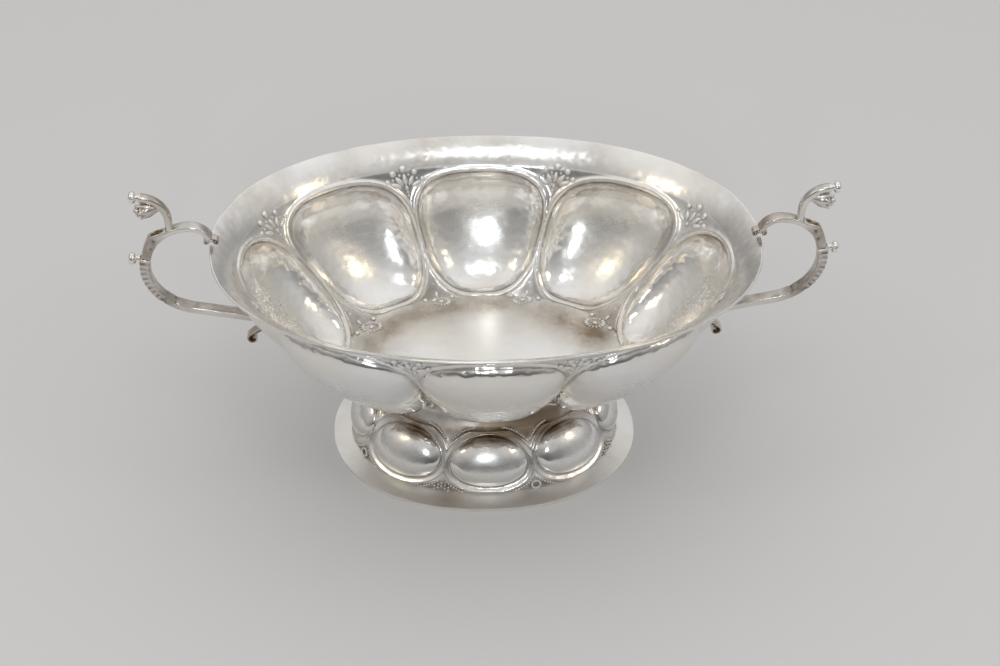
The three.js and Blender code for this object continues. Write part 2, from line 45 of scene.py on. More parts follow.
# Bowl, measured on its outer skin
RIM_HALF_LENGTH = 85.9
RIM_HALF_WIDTH = 59.5
BOWL_DEPTH = 45.4
OVAL_SQUARENESS = 2.15
SHEET_GAUGE = 0.8
LIP_WIDTH = 7.7
LIP_DROP = 7.5
LIP_FLARE = 0.25
FLOOR_HALF_LENGTH = 45
FLOOR_HALF_WIDTH = 29.5
WALL_SAG = 1.6
LOBES = 8

# Foot, measured outwards from the oval of its waist
FOOT_HEIGHT = 33.6
WAIST_HALF_LENGTH = 31
WAIST_HALF_WIDTH = 20.7
WAIST_HEIGHT = 26.4
SEAT_FLARE = 6
SEAT_FLANGE = 1.2
BOSS_TOP_HEIGHT = 20
BOSS_TOP_FLARE = 3.3
BOSS_FOOT_HEIGHT = 2.6
BOSS_FOOT_FLARE = 12.9
BOSS_ZONE_SAG = 1.2
FLANGE_WIDTH = 6.5
FLANGE_EDGE = 1.2

# Handles, in the upright plane through both rim ends
STRAP_WIDTH = 3.5
ARM_FOOT_WIDTH = 3.9
ARM_END_WIDTH = 3.9
ARM_HALF = 0.86
STRAP_HALF = 1.1
ARM_CORNER = 0.4
ARM_CROWN = 0.05
LOWER_CORNER = 0.38
LOWER_CROWN = 0.1
ARM_RADIUS = 6.2
ARM_SET_OUT = -0.8
ARM_LIFT = 0.3
ARM_FOOT_RISE = 2.6
LOOP_REACH = 20.1
LOOP_HALF_HEIGHT = 15.8
JOINT_ANGLE = 15
BACK_HALF = 1.4
SHOULDER_HALF = 2.7
SHOULDER_LENGTH = 7.4
SHOULDER_LEDGE = 5
DISH_HALF_LENGTH = 1.9
DISH_HALF_WIDTH = 1.2
DISH_DEPTH = 0.6
DISH_RIM = 0.08
LOWER_TURN_HALF_LENGTH = 17.8
LOWER_TURN_HALF_HEIGHT = 16
LOWER_TURN_ANGLE = 78
RIDGES = 9
RIDGE_DEPTH = 0.65
RIDGE_NARROWING = 0.2
RIDGED_LENGTH = 16
JOINT_THICKNESS = 1
JOINT_PROUD = 0.35
SCROLL_ROOT_WIDTH = 2.7
SCROLL_WIDTH = 2.9
SCROLL_CORNER = 0.95
SCROLL_RADIUS = 8.2
SCROLL_ROOT = 6.2
SCROLL_RISE = 4.2
SCROLL_TIP_ANGLE = 95
SCROLL_ROOT_HALF = 1.1
SCROLL_TIP_HALF = 1.25
SCROLL_BUD_PLACE = 0.41
BUD_TILT = 81
BUD_LENGTH = 6.8
BUD_RADIUS = 2.65
STEM_LENGTH = 0.7
KNOP_RADIUS = 1.94
KNOP_HALF_THICKNESS = 1.295
KNOP_FULLNESS = 0.8
KNOP_LINE_DEPTH = 0.06
KNOP_LINE_WIDTH = 0.16
VOLUTE_RISE = 1.2
VOLUTE_SPREAD = 2.7
VOLUTE_WIDTH = 2.5
VOLUTE_RADIUS = 0.98
VOLUTE_END_RADIUS = 0.3
VOLUTE_TURN = 430
VOLUTE_CORNER = 0.12
VOLUTE_EYE_HALF = 0.42
VOLUTE_EYE_PROUD = 0.15
TAIL_OUT = 7.1
TAIL_DROP = 7.4
TAIL_ROOT_INSET = 1.5
TAIL_ROOT_GAP = 0.6
TAIL_LEAD = 3.5
TAIL_CURL_RADIUS = 1.6
TAIL_CURL_START = 60
TAIL_END_RADIUS = 0.8
TAIL_TURN = 320
TAIL_HALF = 0.7
TAIL_TIP_HALF = 0.4
TAIL_TIP_HALF_WIDTH = 1.5
TAIL_CORNER = 0.25
TAIL_EYE_HALF = 0.45
TAIL_EYE_HALF_WIDTH = 1.4
CURL_TIGHTENING = 0.85
SEAM = 0.3

RIM_HEIGHT = FOOT_HEIGHT + BOWL_DEPTH
NECK_HALF_LENGTH = RIM_HALF_LENGTH - LIP_WIDTH
NECK_HALF_WIDTH = RIM_HALF_WIDTH - LIP_WIDTH
NECK_HEIGHT = RIM_HEIGHT - LIP_DROP
TINY = 1e-3


def blend(start, end, part):
    return start + (end - start) * min(max(part, 0), 1)


def hump(x, middle, width):
    return exp(-(((x - middle) / width) ** 2))


def travelled_along(points):
    """Distance from the first of the points to each of them."""
    travelled = [0.0]
    for before, after in zip(points, points[1:]):
        travelled.append(travelled[-1] + (after - before).length)
    return travelled


# Oval ground

def oval_point(half_length, half_width, angle):
    c, s = cos(angle), sin(angle)
    reach = (abs(c) ** OVAL_SQUARENESS + abs(s) ** OVAL_SQUARENESS) ** (-1 / OVAL_SQUARENESS)
    return half_length * reach * c, half_width * reach * s


def even_angles(half_length, half_width, samples=2880):
    """Gives the angle on an oval at a share of the way round its edge."""
    turns = [2 * pi * i / samples for i in range(samples + 1)]
    travelled = travelled_along([Vector(oval_point(half_length, half_width, turn)) for turn in turns])

    def angle_at(share):
        wanted = (share % 1.0) * travelled[-1]
        low = min(bisect_right(travelled, wanted) - 1, samples - 1)
        part = (wanted - travelled[low]) / (travelled[low + 1] - travelled[low])
        return 2 * pi * (low + part) / samples

    return angle_at


class Ground:
    """Oval ground of a raised shell: share is the way round, v the way up its profile."""

    def __init__(self, row, angle_at, outwards, climb):
        self.row, self.angle_at, self.outwards, self.climb = row, angle_at, outwards, climb

    def place(self, share, v):
        half_length, half_width, z = self.row(v)
        x, y = oval_point(half_length, half_width, self.angle_at(share))
        return Vector((x, y, z))

    def ways(self, share, v):
        """Unit vectors round the oval, up the profile and out of the shell."""
        along = (self.place(share + TINY, v) - self.place(share - TINY, v)).normalized()
        up = (self.place(share, v + TINY) - self.place(share, v - TINY)).normalized()
        return along, up, along.cross(up).normalized() * self.outwards


def bowl_row(v):
    """Floor for v from -1 to 0, wall from 0 to 1, everted lip from 1 to 2."""
    if v <= 0:
        out = max(1 + v, 0)
        return FLOOR_HALF_LENGTH * out, FLOOR_HALF_WIDTH * out, FOOT_HEIGHT
    if v <= 1:
        sag = 4 * WALL_SAG * v * (1 - v)
        return (
            blend(FLOOR_HALF_LENGTH, NECK_HALF_LENGTH, v) + sag,
            blend(FLOOR_HALF_WIDTH, NECK_HALF_WIDTH, v) + sag,
            blend(FOOT_HEIGHT, NECK_HEIGHT, v),
        )
    w = v - 1
    out = LIP_WIDTH * (w - LIP_FLARE * w * (1 - w))
    rise = (LIP_DROP - SHEET_GAUGE) * (w + LIP_FLARE * w * (1 - w))
    return NECK_HALF_LENGTH + out, NECK_HALF_WIDTH + out, NECK_HEIGHT + rise


def foot_row(v):
    """Seat flange for v from -1 to 0, hollow neck to 1, bosses to 2, flange to 3."""
    seat_height = FOOT_HEIGHT - SHEET_GAUGE
    if v <= 0:
        flare, z = SEAT_FLARE - SEAT_FLANGE * v, seat_height
    elif v <= 0.5:
        turn = v * pi
        flare = SEAT_FLARE * (1 - sin(turn))
        z = WAIST_HEIGHT + (seat_height - WAIST_HEIGHT) * cos(turn)
    elif v <= 1:
        w = 2 * v - 1
        flare = BOSS_TOP_FLARE * w * w
        z = blend(WAIST_HEIGHT, BOSS_TOP_HEIGHT, w)
    elif v <= 2:
        w = v - 1
        flare = blend(BOSS_TOP_FLARE, BOSS_FOOT_FLARE, w) + 4 * BOSS_ZONE_SAG * w * (1 - w)
        z = blend(BOSS_TOP_HEIGHT, BOSS_FOOT_HEIGHT, w)
    else:
        w = v - 2
        flare = BOSS_FOOT_FLARE + FLANGE_WIDTH * w
        z = BOSS_FOOT_HEIGHT + (FLANGE_EDGE - BOSS_FOOT_HEIGHT) * w
    return WAIST_HALF_LENGTH + flare, WAIST_HALF_WIDTH + flare, z


# Lengths of the profiles from one whole v to the next, and an oval's girth over its summed half axes
WALL_SLANT = 47
LIP_SLANT = 10.2
FLOOR_SLANT = 34
BOSS_SLANT = 20.5
OVAL_GIRTH = 3.22


def bowl_climb(v, distance):
    """v reached from v by going a distance up the bowl's profile."""
    reached = v + distance / WALL_SLANT
    if reached < 0:
        return reached * WALL_SLANT / FLOOR_SLANT
    return reached if reached < 1 else 1 + (reached - 1) * WALL_SLANT / LIP_SLANT


def foot_climb(v, distance):
    return v + distance / BOSS_SLANT


bowl_ground = Ground(bowl_row, even_angles(NECK_HALF_LENGTH, NECK_HALF_WIDTH), 1, bowl_climb)
boss_foot_angles = even_angles(WAIST_HALF_LENGTH + BOSS_FOOT_FLARE, WAIST_HALF_WIDTH + BOSS_FOOT_FLARE)
foot_ground = Ground(foot_row, boss_foot_angles, -1, foot_climb)

def bowl_tint_and_reflection(v):
    """Brown band along the floor's edge, a painted reflection of the lobes, and a thin brown tint over
    the lip.
    """
    return 0.04 + 0.72 * hump(v, -0.19, 0.18) + (0.2 if v > 1.05 else 0)


def foot_tint_and_shade(v):
    """Amber tone of the neck, partly tarnish where no polishing cloth reaches and partly painted shade
    and dark reflection under the bowl, and a thin tint over the flange.
    """
    return 0.05 + (1 if v < 1 else hump(v, 1, 0.18)) + (0.1 if v > 2 else 0)


# Chased lobes. Middle, top, foot, start and end are heights in v, and span is a share of the pitch.
# Pitch, slant, bulge and tool_step are in millimetres. A line has its distance outside the lobe, its
# width and its height. At the height v, tone is the brown tint with painted reflection and shade,
# plain_work the hammer marks on plain sheet, and the last field the tarnish and painted shade in the
# corners between the lobes
bowl_lobe = SimpleNamespace(
    middle=0.5, top=0.968, foot=0.015, start=0, end=1, span=0.975, pitch=47, slant=50,
    corner_top=2.8, corner_foot=2.9, bulge=6.9, power=2.3, fullness=0.54, inset=0.02,
    tool_step=0.34, lines=((1.25, 0.85, -0.55),), hammering=0.08, crease=0.25, tone=bowl_tint_and_reflection,
    plain_work=lambda v: 0.35 if v > 1 else 0.15, corner_grime=lambda v: 0.45 * hump(v, 0.06, 0.08),
)
foot_boss = SimpleNamespace(
    middle=1.48, top=1.91, foot=1.05, start=1, end=2, span=0.9, pitch=28.4, slant=BOSS_SLANT,
    corner_top=2.1, corner_foot=2.1, bulge=3.4, power=2.2, fullness=0.62, inset=0.03,
    tool_step=0.34, lines=((0.3, 0.4, -0.1), (2.1, 0.95, 0.75)), hammering=0.05, crease=0.45,
    tone=foot_tint_and_shade, plain_work=lambda v: 0.1, corner_grime=lambda v: 0.9 * hump(v, 1.93, 0.1),
)


CORNER_DISTANCE = 2.4
# Painted shade along each lobe's outline: its gain and width beside it, and the power of its rise
# inside
CREASE_GAIN = 1.4
CREASE_WIDTH = 0.45
CREASE_POWER = 30
CROWN_WORK = 0.25
BESIDE_WORK = 0.4
# Strength of a warm brown tint towards each lobe's outline, a painted warm reflection
EDGE_WARM_REFLECTION = 0.12

# Unevenness: (rate per millimetre, share) of two noises, and what keeps them apart
BROAD_DENTS = (0.075, 1.6)
CLOSE_DENTS = (0.21, 0.7)
DENTS_APART = Vector((7, 3, 5))

# Patches: rate per millimetre, middle, swing, least and most
TINT_AND_REFLECTION_PATCHES = (0.06, 0.9, 1.2, 0.4, 1.2)
TARNISH_AND_SHADE_PATCHES = (0.11, 0.55, 1.6, 0.1, 1)

# Outermost rings of a lobe's cell, beyond its tool lines
FREE_RINGS = 4


def lobe_half(lobe, upper):
    """Reach in v from a lobe's middle to its top or foot, and the squareness of its corners there."""
    if upper:
        return lobe.top - lobe.middle, lobe.corner_top
    return lobe.middle - lobe.foot, lobe.corner_foot


def girth(x, y, squareness):
    """1 on the unit superellipse, less inside it and more outside."""
    return (abs(x) ** squareness + abs(y) ** squareness) ** (1 / squareness)


def cell_place(i, j, lobe, rings, inner_rings, inset):
    """Place of a grid point, counted from the lobe's middle, so that the grid's rings follow the lobe.

    Gives its offset in shares of the pitch, v, its ring's size inside the outline and its distance
    outside.
    """
    ring = max(abs(i), abs(j))
    if ring == 0:
        return 0.0, lobe.middle, 0.0, 0.0
    reach, corner = lobe_half(lobe, j > 0)
    across, along = i / ring, j / ring
    edge = Vector((across, along)) * ((1 - inset) / girth(across, along, corner))
    size, distance, spot = 1.0, 0.0, edge
    if ring <= inner_rings:
        size = sin(pi / 2 * ring / inner_rings)
        spot = edge * size
    else:
        cell_reach = (lobe.end - lobe.middle) if j > 0 else (lobe.middle - lobe.start)
        border = Vector((across / lobe.span, along * cell_reach / reach))
        across_gap = (border.x - edge.x) * lobe.span * lobe.pitch / 2
        gap = Vector((across_gap, (border.y - edge.y) * reach * lobe.slant)).length
        step, count = ring - inner_rings, rings - inner_rings
        if gap < lobe.tool_step * count:
            distance = gap * step / count
        elif step <= count - FREE_RINGS:
            distance = lobe.tool_step * step
        else:
            lined = lobe.tool_step * (count - FREE_RINGS)
            distance = lined + (gap - lined) * (step - count + FREE_RINGS) / FREE_RINGS
        spot = edge + (border - edge) * (distance / gap)
    return spot.x * lobe.span / 2, lobe.middle + spot.y * reach, size, distance


def chased_height(size, distance, lobe):
    """Height out of the ground: the dome inside the outline, tool lines beside it."""
    if distance <= 0:
        return lobe.bulge * max(1 - size ** lobe.power, 0) ** lobe.fullness
    return sum(depth * hump(distance, far, width) for far, width, depth in lobe.lines)


def hammered(place, depth):
    """Unevenness that the planishing hammer leaves."""
    broad = noise.noise(place * BROAD_DENTS[0])
    close = noise.noise(place * CLOSE_DENTS[0] + DENTS_APART)
    return depth * (BROAD_DENTS[1] * broad + CLOSE_DENTS[1] * close)


def patchy(place, rate, middle, swing, least, most):
    """Factor that wanders from place to place."""
    return min(max(middle + swing * noise.noise(place * rate), least), most)


# Meshes

def linked(name, data):
    piece = bpy.data.objects.new(name, data)
    bpy.context.scene.collection.objects.link(piece)
    return piece


def to_object(bm, name, angle=42):
    """Mesh object of a piece worked in millimetres, smooth but for its real edges."""
    bmesh.ops.scale(bm, vec=Vector((1, 1, 1)) * MILLIMETRE, verts=bm.verts)
    mesh = bpy.data.meshes.new(name)
    bm.to_mesh(mesh)
    bm.free()
    mesh.shade_smooth()
    mesh.set_sharp_from_angle(angle=radians(angle))
    return linked(name, mesh)


def spin_chain(chain, columns, closed):
    """Chain of (radius, height) points spun all the way round the upright axis."""
    bm = bmesh.new()
    points = [bm.verts.new((radius, 0, height)) for radius, height in chain]
    edges = [bm.edges.new(pair) for pair in zip(points, points[1:])]
    if closed:
        edges.append(bm.edges.new((points[-1], points[0])))
    bmesh.ops.spin(
        bm, geom=points + edges, cent=(0, 0, 0), axis=(0, 0, 1), angle=2 * pi, steps=columns,
        use_merge=True,
    )
    bmesh.ops.remove_doubles(bm, verts=bm.verts, dist=1e-5)
    return bm


def raised_shell(name, ground, lobe, before, after, rings, inner_rings, edge_rings, poles):
    """Double skin of sheet: spun as a disc of rings, each then set out to its oval and its lobes.

    Plain rings at the heights before and after enclose the lobes' rings. edge_rings join the two
    skins, each with its v, its lift out of the ground and its rise.
    """
    columns = LOBES * 2 * rings
    rows = [("plain", v) for v in before]
    rows += [("wall", j) for j in range(-rings, rings + 1)]
    rows += [("plain", v) for v in after]
    count = len(rows)
    chain = [(k + 1, 0) for k in range(count + len(edge_rings))]
    chain += [(k, 2) for k in range(count, 0, -1)]
    if poles:
        chain = [(0, 0)] + chain + [(0, 2)]
    bm = spin_chain(chain, columns, not poles)
    # Per point: tarnish with painted shade, hammer work, and a brown tint with painted reflection and
    # shade
    tarnish_and_shade = bm.verts.layers.float.new("tarnish_and_shade")
    worked = bm.verts.layers.float.new("worked")
    tint_and_reflection = bm.verts.layers.float.new("tint_and_reflection")
    for vert in bm.verts:
        inside = round(vert.co.z) > 0
        depth = SHEET_GAUGE if inside else 0
        ring = round(vert.co.xy.length)
        column = round(atan2(vert.co.y, vert.co.x) / (2 * pi) * columns) % columns
        number, i = column // (2 * rings), column % (2 * rings) - rings
        if ring == 0:
            vert.co = Vector((0, 0, FOOT_HEIGHT + depth))
            continue
        if ring > count:
            v, lift, rise = edge_rings[ring - count - 1]
            share = (number + i / (2 * rings)) / LOBES
            vert.co = ground.place(share, v) + ground.ways(share, v)[2] * lift + Vector((0, 0, rise))
            continue
        kind, station = rows[ring - 1]
        inset = lobe.inset if inside else 0.0
        if kind == "wall":
            offset, v, size, distance = cell_place(i, station, lobe, rings, inner_rings, inset)
            height = chased_height(size, distance, lobe)
            beside = distance > 0
            # Painted shade in the crease round each lobe's outline, inside and just outside it
            dark = CREASE_GAIN * hump(distance, 0, CREASE_WIDTH) if beside else size ** CREASE_POWER
            vert[tarnish_and_shade] = lobe.crease * dark
            vert[worked] = BESIDE_WORK if beside else CROWN_WORK + (1 - CROWN_WORK) * size ** 4
            # Painted warm reflection, growing towards the lobe's outline
            warm_reflection = EDGE_WARM_REFLECTION * size ** 3
        else:
            offset, v, height, distance = i / (2 * rings), station, 0.0, 0.0
            vert[worked], warm_reflection = lobe.plain_work(v), 0.0
        share = (number + offset) / LOBES
        place = ground.place(share, v)
        # Brown tint with painted reflection and painted shade, in patches; then tarnish with painted
        # shade, in patches
        vert[tint_and_reflection] = lobe.tone(v) * patchy(place, *TINT_AND_REFLECTION_PATCHES)
        vert[tarnish_and_shade] *= patchy(place, *TARNISH_AND_SHADE_PATCHES)
        vert[tint_and_reflection] += warm_reflection
        # Tarnish and painted shade in the corners between lobes
        vert[tarnish_and_shade] += lobe.corner_grime(v) if distance > CORNER_DISTANCE else 0
        normal = ground.ways(share, v)[2]
        uneven = hammered(place, lobe.hammering) * max(vert[worked], 0.6)
        vert.co = place + normal * (height + uneven - depth)
    bmesh.ops.recalc_face_normals(bm, faces=bm.faces)
    return to_object(bm, name)


def raised_bowl():
    floor = [-0.86, -0.7, -0.54, -0.38, -0.24, -0.13, -0.05, -0.015]
    lip = [1.02, 1.08, 1.2, 1.36, 1.54, 1.72, 1.88, 1.96, 1.985]
    edge = [(1.997, -0.1, 0), (2.0, -0.4, 0), (1.997, -0.7, 0)]
    return raised_shell("raised_bowl", bowl_ground, bowl_lobe, floor, lip, 30, 19, edge, True)


def raised_foot():
    neck = [-1, -0.4, 0.02] + [0.08 * k for k in range(1, 13)]
    flange = [2.03, 2.12, 2.3, 2.55, 2.8, 2.95]
    edge = [(3, 0, 0), (3, 0, -0.9), (2.985, 0, -1.2), (2.73, 0, -1.2), (2.71, 0, -0.8)]
    return raised_shell("raised_foot", foot_ground, foot_boss, neck, flange, 26, 13, edge, False)


# Handle lines. A strap's section has points round each corner and cuts along each face

SAME_SPOT = 1e-4
TANGENT_REACH = 0.12
CORNER_POINTS = 4
FACE_CUTS = 3
SIDE_MARGIN = 0.1

# Hollows worn in the straps' sides: x, z, radius and depth
UPPER_HOLLOWS = ((102.6, 81.0, 1.1, 0.45), (103.6, 78.2, 0.9, 0.35))
LOWER_HOLLOWS = ((101.6, 58.2, 0.9, 0.35), (98, 57.5, 0.9, 0.3))


def arc(x, z, radius_x, radius_z, start, end, count=90):
    angles = [radians(start + (end - start) * k / count) for k in range(count + 1)]
    return [Vector((x + radius_x * cos(a), z + radius_z * sin(a))) for a in angles]


class Path:
    """Line in the handle's plane, followed by the distance along it."""

    def __init__(self, *runs):
        points = [point for run in runs for point in run]
        self.points = points[:1]
        for point in points[1:]:
            if (point - self.points[-1]).length > SAME_SPOT:
                self.points.append(point)
        self.far = travelled_along(self.points)
        self.length = self.far[-1]

    def point(self, s):
        low = min(max(bisect_right(self.far, s) - 1, 0), len(self.points) - 2)
        part = (s - self.far[low]) / (self.far[low + 1] - self.far[low])
        return self.points[low].lerp(self.points[low + 1], part)

    def at(self, s):
        after = self.point(min(s + TANGENT_REACH, self.length))
        before = self.point(max(s - TANGENT_REACH, 0))
        return self.point(s), (after - before).normalized()


def strap_section(outer, inner, half_width, corner, crown=0.0, outer_cuts=FACE_CUTS):
    """Points round a strap's section: distance outwards from its line, and place across it."""
    corners = (
        (outer - corner, half_width - corner, 0), (corner - inner, half_width - corner, 90),
        (corner - inner, corner - half_width, 180), (outer - corner, corner - half_width, 270),
    )
    rounded = []
    for out, side, start in corners:
        for k in range(CORNER_POINTS):
            angle = radians(start + 90 * k / (CORNER_POINTS - 1))
            rounded.append((out + corner * cos(angle), side + corner * sin(angle)))
    points = []
    for k, point in enumerate(rounded):
        points.append(point)
        if (k + 1) % CORNER_POINTS == 0:
            after = rounded[(k + 1) % len(rounded)]
            outer_face = k == len(rounded) - 1
            cuts = outer_cuts if outer_face else FACE_CUTS
            for step in range(1, cuts + 1):
                part = step / (cuts + 1)
                swell = crown * sin(pi * part) if outer_face else 0
                out = blend(point[0], after[0], part) + swell
                points.append((out, blend(point[1], after[1], part)))
    return points


def sweep(path, stations, section_at, tarnish_and_shade_at, hollows=()):
    """Strap drawn along a path: a grid wrapped round it, closed at its ends.

    The fourth argument gives tarnish with painted shade and painted reflection, from 0 to 1, at
    distances along the path, outwards and across.
    """
    around = len(section_at(stations[0]))
    rows = len(stations) - 1
    bm = bmesh.new()
    bmesh.ops.create_grid(bm, x_segments=around, y_segments=rows, size=1)
    tarnish_and_shade = bm.verts.layers.float.new("tarnish_and_shade")
    for vert in bm.verts:
        k = round((vert.co.x + 1) / 2 * around) % around
        s = stations[round((vert.co.y + 1) / 2 * rows)]
        out, side = section_at(s)[k]
        point, tangent = path.at(s)
        vert.co = Vector((point.x - tangent.y * out, side, point.y + tangent.x * out))
        vert[tarnish_and_shade] = tarnish_and_shade_at(s, out, side)
    bmesh.ops.remove_doubles(bm, verts=bm.verts, dist=SAME_SPOT)
    for x, z, radius, depth in hollows:
        for vert in bm.verts:
            away = hypot(vert.co.x - x, vert.co.z - z) / radius
            if away < 1:
                vert.co.y -= copysign(depth * (1 - away * away), vert.co.y)
                # Painted shade in each hollow, darkest at its middle
                vert[tarnish_and_shade] = max(vert[tarnish_and_shade], 1 - away)
    bmesh.ops.holes_fill(bm, edges=[edge for edge in bm.edges if edge.is_boundary], sides=0)
    bmesh.ops.recalc_face_normals(bm, faces=bm.faces)
    return bm


def on_side(side):
    """Whether a place across a strap is on one of its two side faces."""
    return abs(side) > STRAP_WIDTH / 2 - SIDE_MARGIN


def steps(start, end, spacing):
    count = max(round((end - start) / spacing), 2)
    return [start + (end - start) * k / count for k in range(count + 1)]


ARM_TOP = Vector((RIM_HALF_LENGTH + ARM_SET_OUT + ARM_RADIUS, RIM_HEIGHT + ARM_RADIUS + ARM_LIFT))
LOOP_MIDDLE = ARM_TOP.y - LOOP_HALF_HEIGHT
LOOP_BACK = RIM_HALF_LENGTH + LOOP_REACH
ARM_FOOT_ANGLE = 180 - degrees(asin((ARM_FOOT_RISE - ARM_LIFT) / ARM_RADIUS))
LOWER_CENTRE = LOOP_BACK - LOWER_TURN_HALF_LENGTH
upper_arm_run = arc(ARM_TOP.x, ARM_TOP.y - ARM_RADIUS, ARM_RADIUS, ARM_RADIUS, ARM_FOOT_ANGLE, 90)
back_oval = (ARM_TOP.x, LOOP_MIDDLE, LOOP_BACK - ARM_TOP.x, LOOP_HALF_HEIGHT)
upper_back_run = arc(*back_oval, 90, JOINT_ANGLE)
middle_back_run = arc(*back_oval, JOINT_ANGLE, 0)
lower_turn_run = arc(
    LOWER_CENTRE, LOOP_MIDDLE, LOWER_TURN_HALF_LENGTH, LOWER_TURN_HALF_HEIGHT, 0, -LOWER_TURN_ANGLE
)


def wall_meeting(lobe, samples=400):
    """Place where the lower arm's line meets the outer skin of the end lobe."""
    line = (lower_turn_run[-1] - lower_turn_run[-2]).normalized()
    spots = []
    for v in [k / samples for k in range(samples + 1)]:
        half = lobe_half(lobe, v > lobe.middle)[0]
        height = chased_height(min(abs(v - lobe.middle) / half, 1), 0, lobe)
        skin = bowl_ground.place(0, v) + bowl_ground.ways(0, v)[2] * height
        spots.append(Vector((skin.x, skin.z)))
    return min(spots, key=lambda spot: abs(line.cross(spot - lower_turn_run[-1]))), line


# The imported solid's lobes are flatter than the dressed ones. The tail stays where that solid has it
solid_lobe = SimpleNamespace(**{**vars(bowl_lobe), "bulge": 5.6, "fullness": 0.6})
WALL_POINT, LOWER_LINE = wall_meeting(bowl_lobe)
TAIL_POINT = wall_meeting(solid_lobe)[0]

upper_path = Path(upper_arm_run, upper_back_run)
CORNER = upper_path.length - SHOULDER_LENGTH
LEDGE = CORNER - SHOULDER_LEDGE


def dish(s, side):
    """Depth of the oval dish sunk in the shoulder's ledge, with a faint rim round it."""
    away = hypot((s - (LEDGE + CORNER) / 2) / DISH_HALF_LENGTH, side / DISH_HALF_WIDTH)
    return DISH_DEPTH * sqrt(max(1 - away * away, 0)) - DISH_RIM * hump(away, 1.15, 0.12)


def upper_arm():
    """Plain arm from the rim, shoulder with a dished ledge and a corner, and back down to the joint."""
    stations = steps(0, LEDGE - 0.2, 0.5) + steps(LEDGE, CORNER - 0.15, 0.2) + [CORNER, CORNER + 0.15]
    stations += steps(CORNER + 0.4, upper_path.length - JOINT_THICKNESS / 2 - SEAM / 2, 0.3)

    def section(s):
        inner = blend(ARM_HALF, BACK_HALF, (s - CORNER) / SHOULDER_LENGTH)
        if s < CORNER:
            outer = blend(ARM_HALF, SHOULDER_HALF, (s - LEDGE) / SHOULDER_LEDGE)
        else:
            outer = blend(SHOULDER_HALF, BACK_HALF, (s - CORNER) / SHOULDER_LENGTH)
        width = blend(ARM_FOOT_WIDTH, STRAP_WIDTH, s / LEDGE)
        ring = strap_section(outer, inner, width / 2, ARM_CORNER, ARM_CROWN, outer_cuts=11)
        return [(out - dish(s, side) if out > 0 else out, side) for out, side in ring]

    # Painted dark reflection in the ledge's dish, painted shade growing along the shoulder's sides, and
    # a painted brownish reflection on the other faces
    def grime(s, out, side):
        if dish(s, side) > 0.05 and out > 0:
            return 1.0
        return blend(0.02, 0.42, (s - LEDGE) / SHOULDER_LEDGE) if on_side(side) else 0.28

    return sweep(upper_path, stations, section, grime, UPPER_HOLLOWS)


def lower_arm():
    """Back below the joint: overlapping ridges, fading into the plain arm that runs to the wall."""
    run = [lower_turn_run[-1], WALL_POINT + LOWER_LINE * SHEET_GAUGE / 4]
    path = Path(middle_back_run, lower_turn_run, run)
    turn = path.length - (run[1] - run[0]).length
    ridge_length = RIDGED_LENGTH / RIDGES
    parts = (0.0, 0.3, 0.6, 0.9)
    start = JOINT_THICKNESS / 2 + SEAM / 2
    ridged = [(k + part) * ridge_length for k in range(RIDGES) for part in parts]
    stations = [start] + [s for s in ridged if s > start]
    stations += steps(RIDGED_LENGTH, turn, 0.6) + steps(turn + 0.6, path.length, 0.8)

    def passed(s):
        """Share of its own ridge that the distance s has passed."""
        return s / ridge_length - int(s / ridge_length + 1e-6)

    def section(s):
        plain = blend(BACK_HALF, STRAP_HALF, s / turn)
        fade = blend(1, 0.5, s / RIDGED_LENGTH)
        ridge = RIDGE_DEPTH * fade * (1 - passed(s)) if s < RIDGED_LENGTH - 1e-6 else 0.0
        half_width = blend(STRAP_WIDTH, ARM_END_WIDTH, s / turn) / 2 - RIDGE_NARROWING * ridge
        return strap_section(plain + ridge, plain, half_width, LOWER_CORNER, LOWER_CROWN)

    # Painted shade in the grooves between the ridges and on the sides below them, fading along the arm,
    # and a painted brownish reflection on the other faces, strongest on the inner face
    def grime(s, out, side):
        if s < RIDGED_LENGTH:
            return 0.1 + 0.7 * passed(s) if out > 0 else 0.35
        if on_side(side):
            return blend(0.6, 0.02, (s - RIDGED_LENGTH) / 10)
        return 0.45 if out < 0 else 0.2

    return sweep(path, stations, section, grime, LOWER_HOLLOWS)


def scroll_foot():
    x = ARM_TOP.x + SCROLL_ROOT
    across = (x - ARM_TOP.x) / (LOOP_BACK - ARM_TOP.x)
    return Vector((x, LOOP_MIDDLE + LOOP_HALF_HEIGHT * sqrt(1 - across * across)))


SCROLL_FOOT = scroll_foot()
SCROLL_CENTRE = SCROLL_FOOT + Vector((SCROLL_RADIUS, SCROLL_RISE))
scroll_run = arc(SCROLL_CENTRE.x, SCROLL_CENTRE.y, SCROLL_RADIUS, SCROLL_RADIUS, 180, SCROLL_TIP_ANGLE)


def thumb_curl():
    path = Path([SCROLL_FOOT - Vector((0, 0.5)), Vector((SCROLL_FOOT.x, SCROLL_CENTRE.y))], scroll_run)

    def section(s):
        half = blend(SCROLL_ROOT_HALF, SCROLL_TIP_HALF, s / path.length)
        width = blend(SCROLL_ROOT_WIDTH, SCROLL_WIDTH, s / path.length)
        return strap_section(half, half, width / 2, SCROLL_CORNER)

    # Painted shade and brownish reflection on the scroll's outer and inner faces; its side faces stay
    # bright
    def grime(s, out, side):
        return 0.05 if abs(side) > SCROLL_ROOT_WIDTH / 2 - 0.3 else 0.3

    return sweep(path, steps(0, path.length, 0.45), section, grime)


def curl_run(x, z, radius, end_radius, start, turn, count=70):
    """Spiral that tightens from radius to end_radius while it turns."""
    run = []
    for k in range(count + 1):
        part = k / count
        angle = radians(start + turn * part)
        reach = radius + (end_radius - radius) * part ** CURL_TIGHTENING
        run.append(Vector((x + reach * cos(angle), z + reach * sin(angle))))
    return run


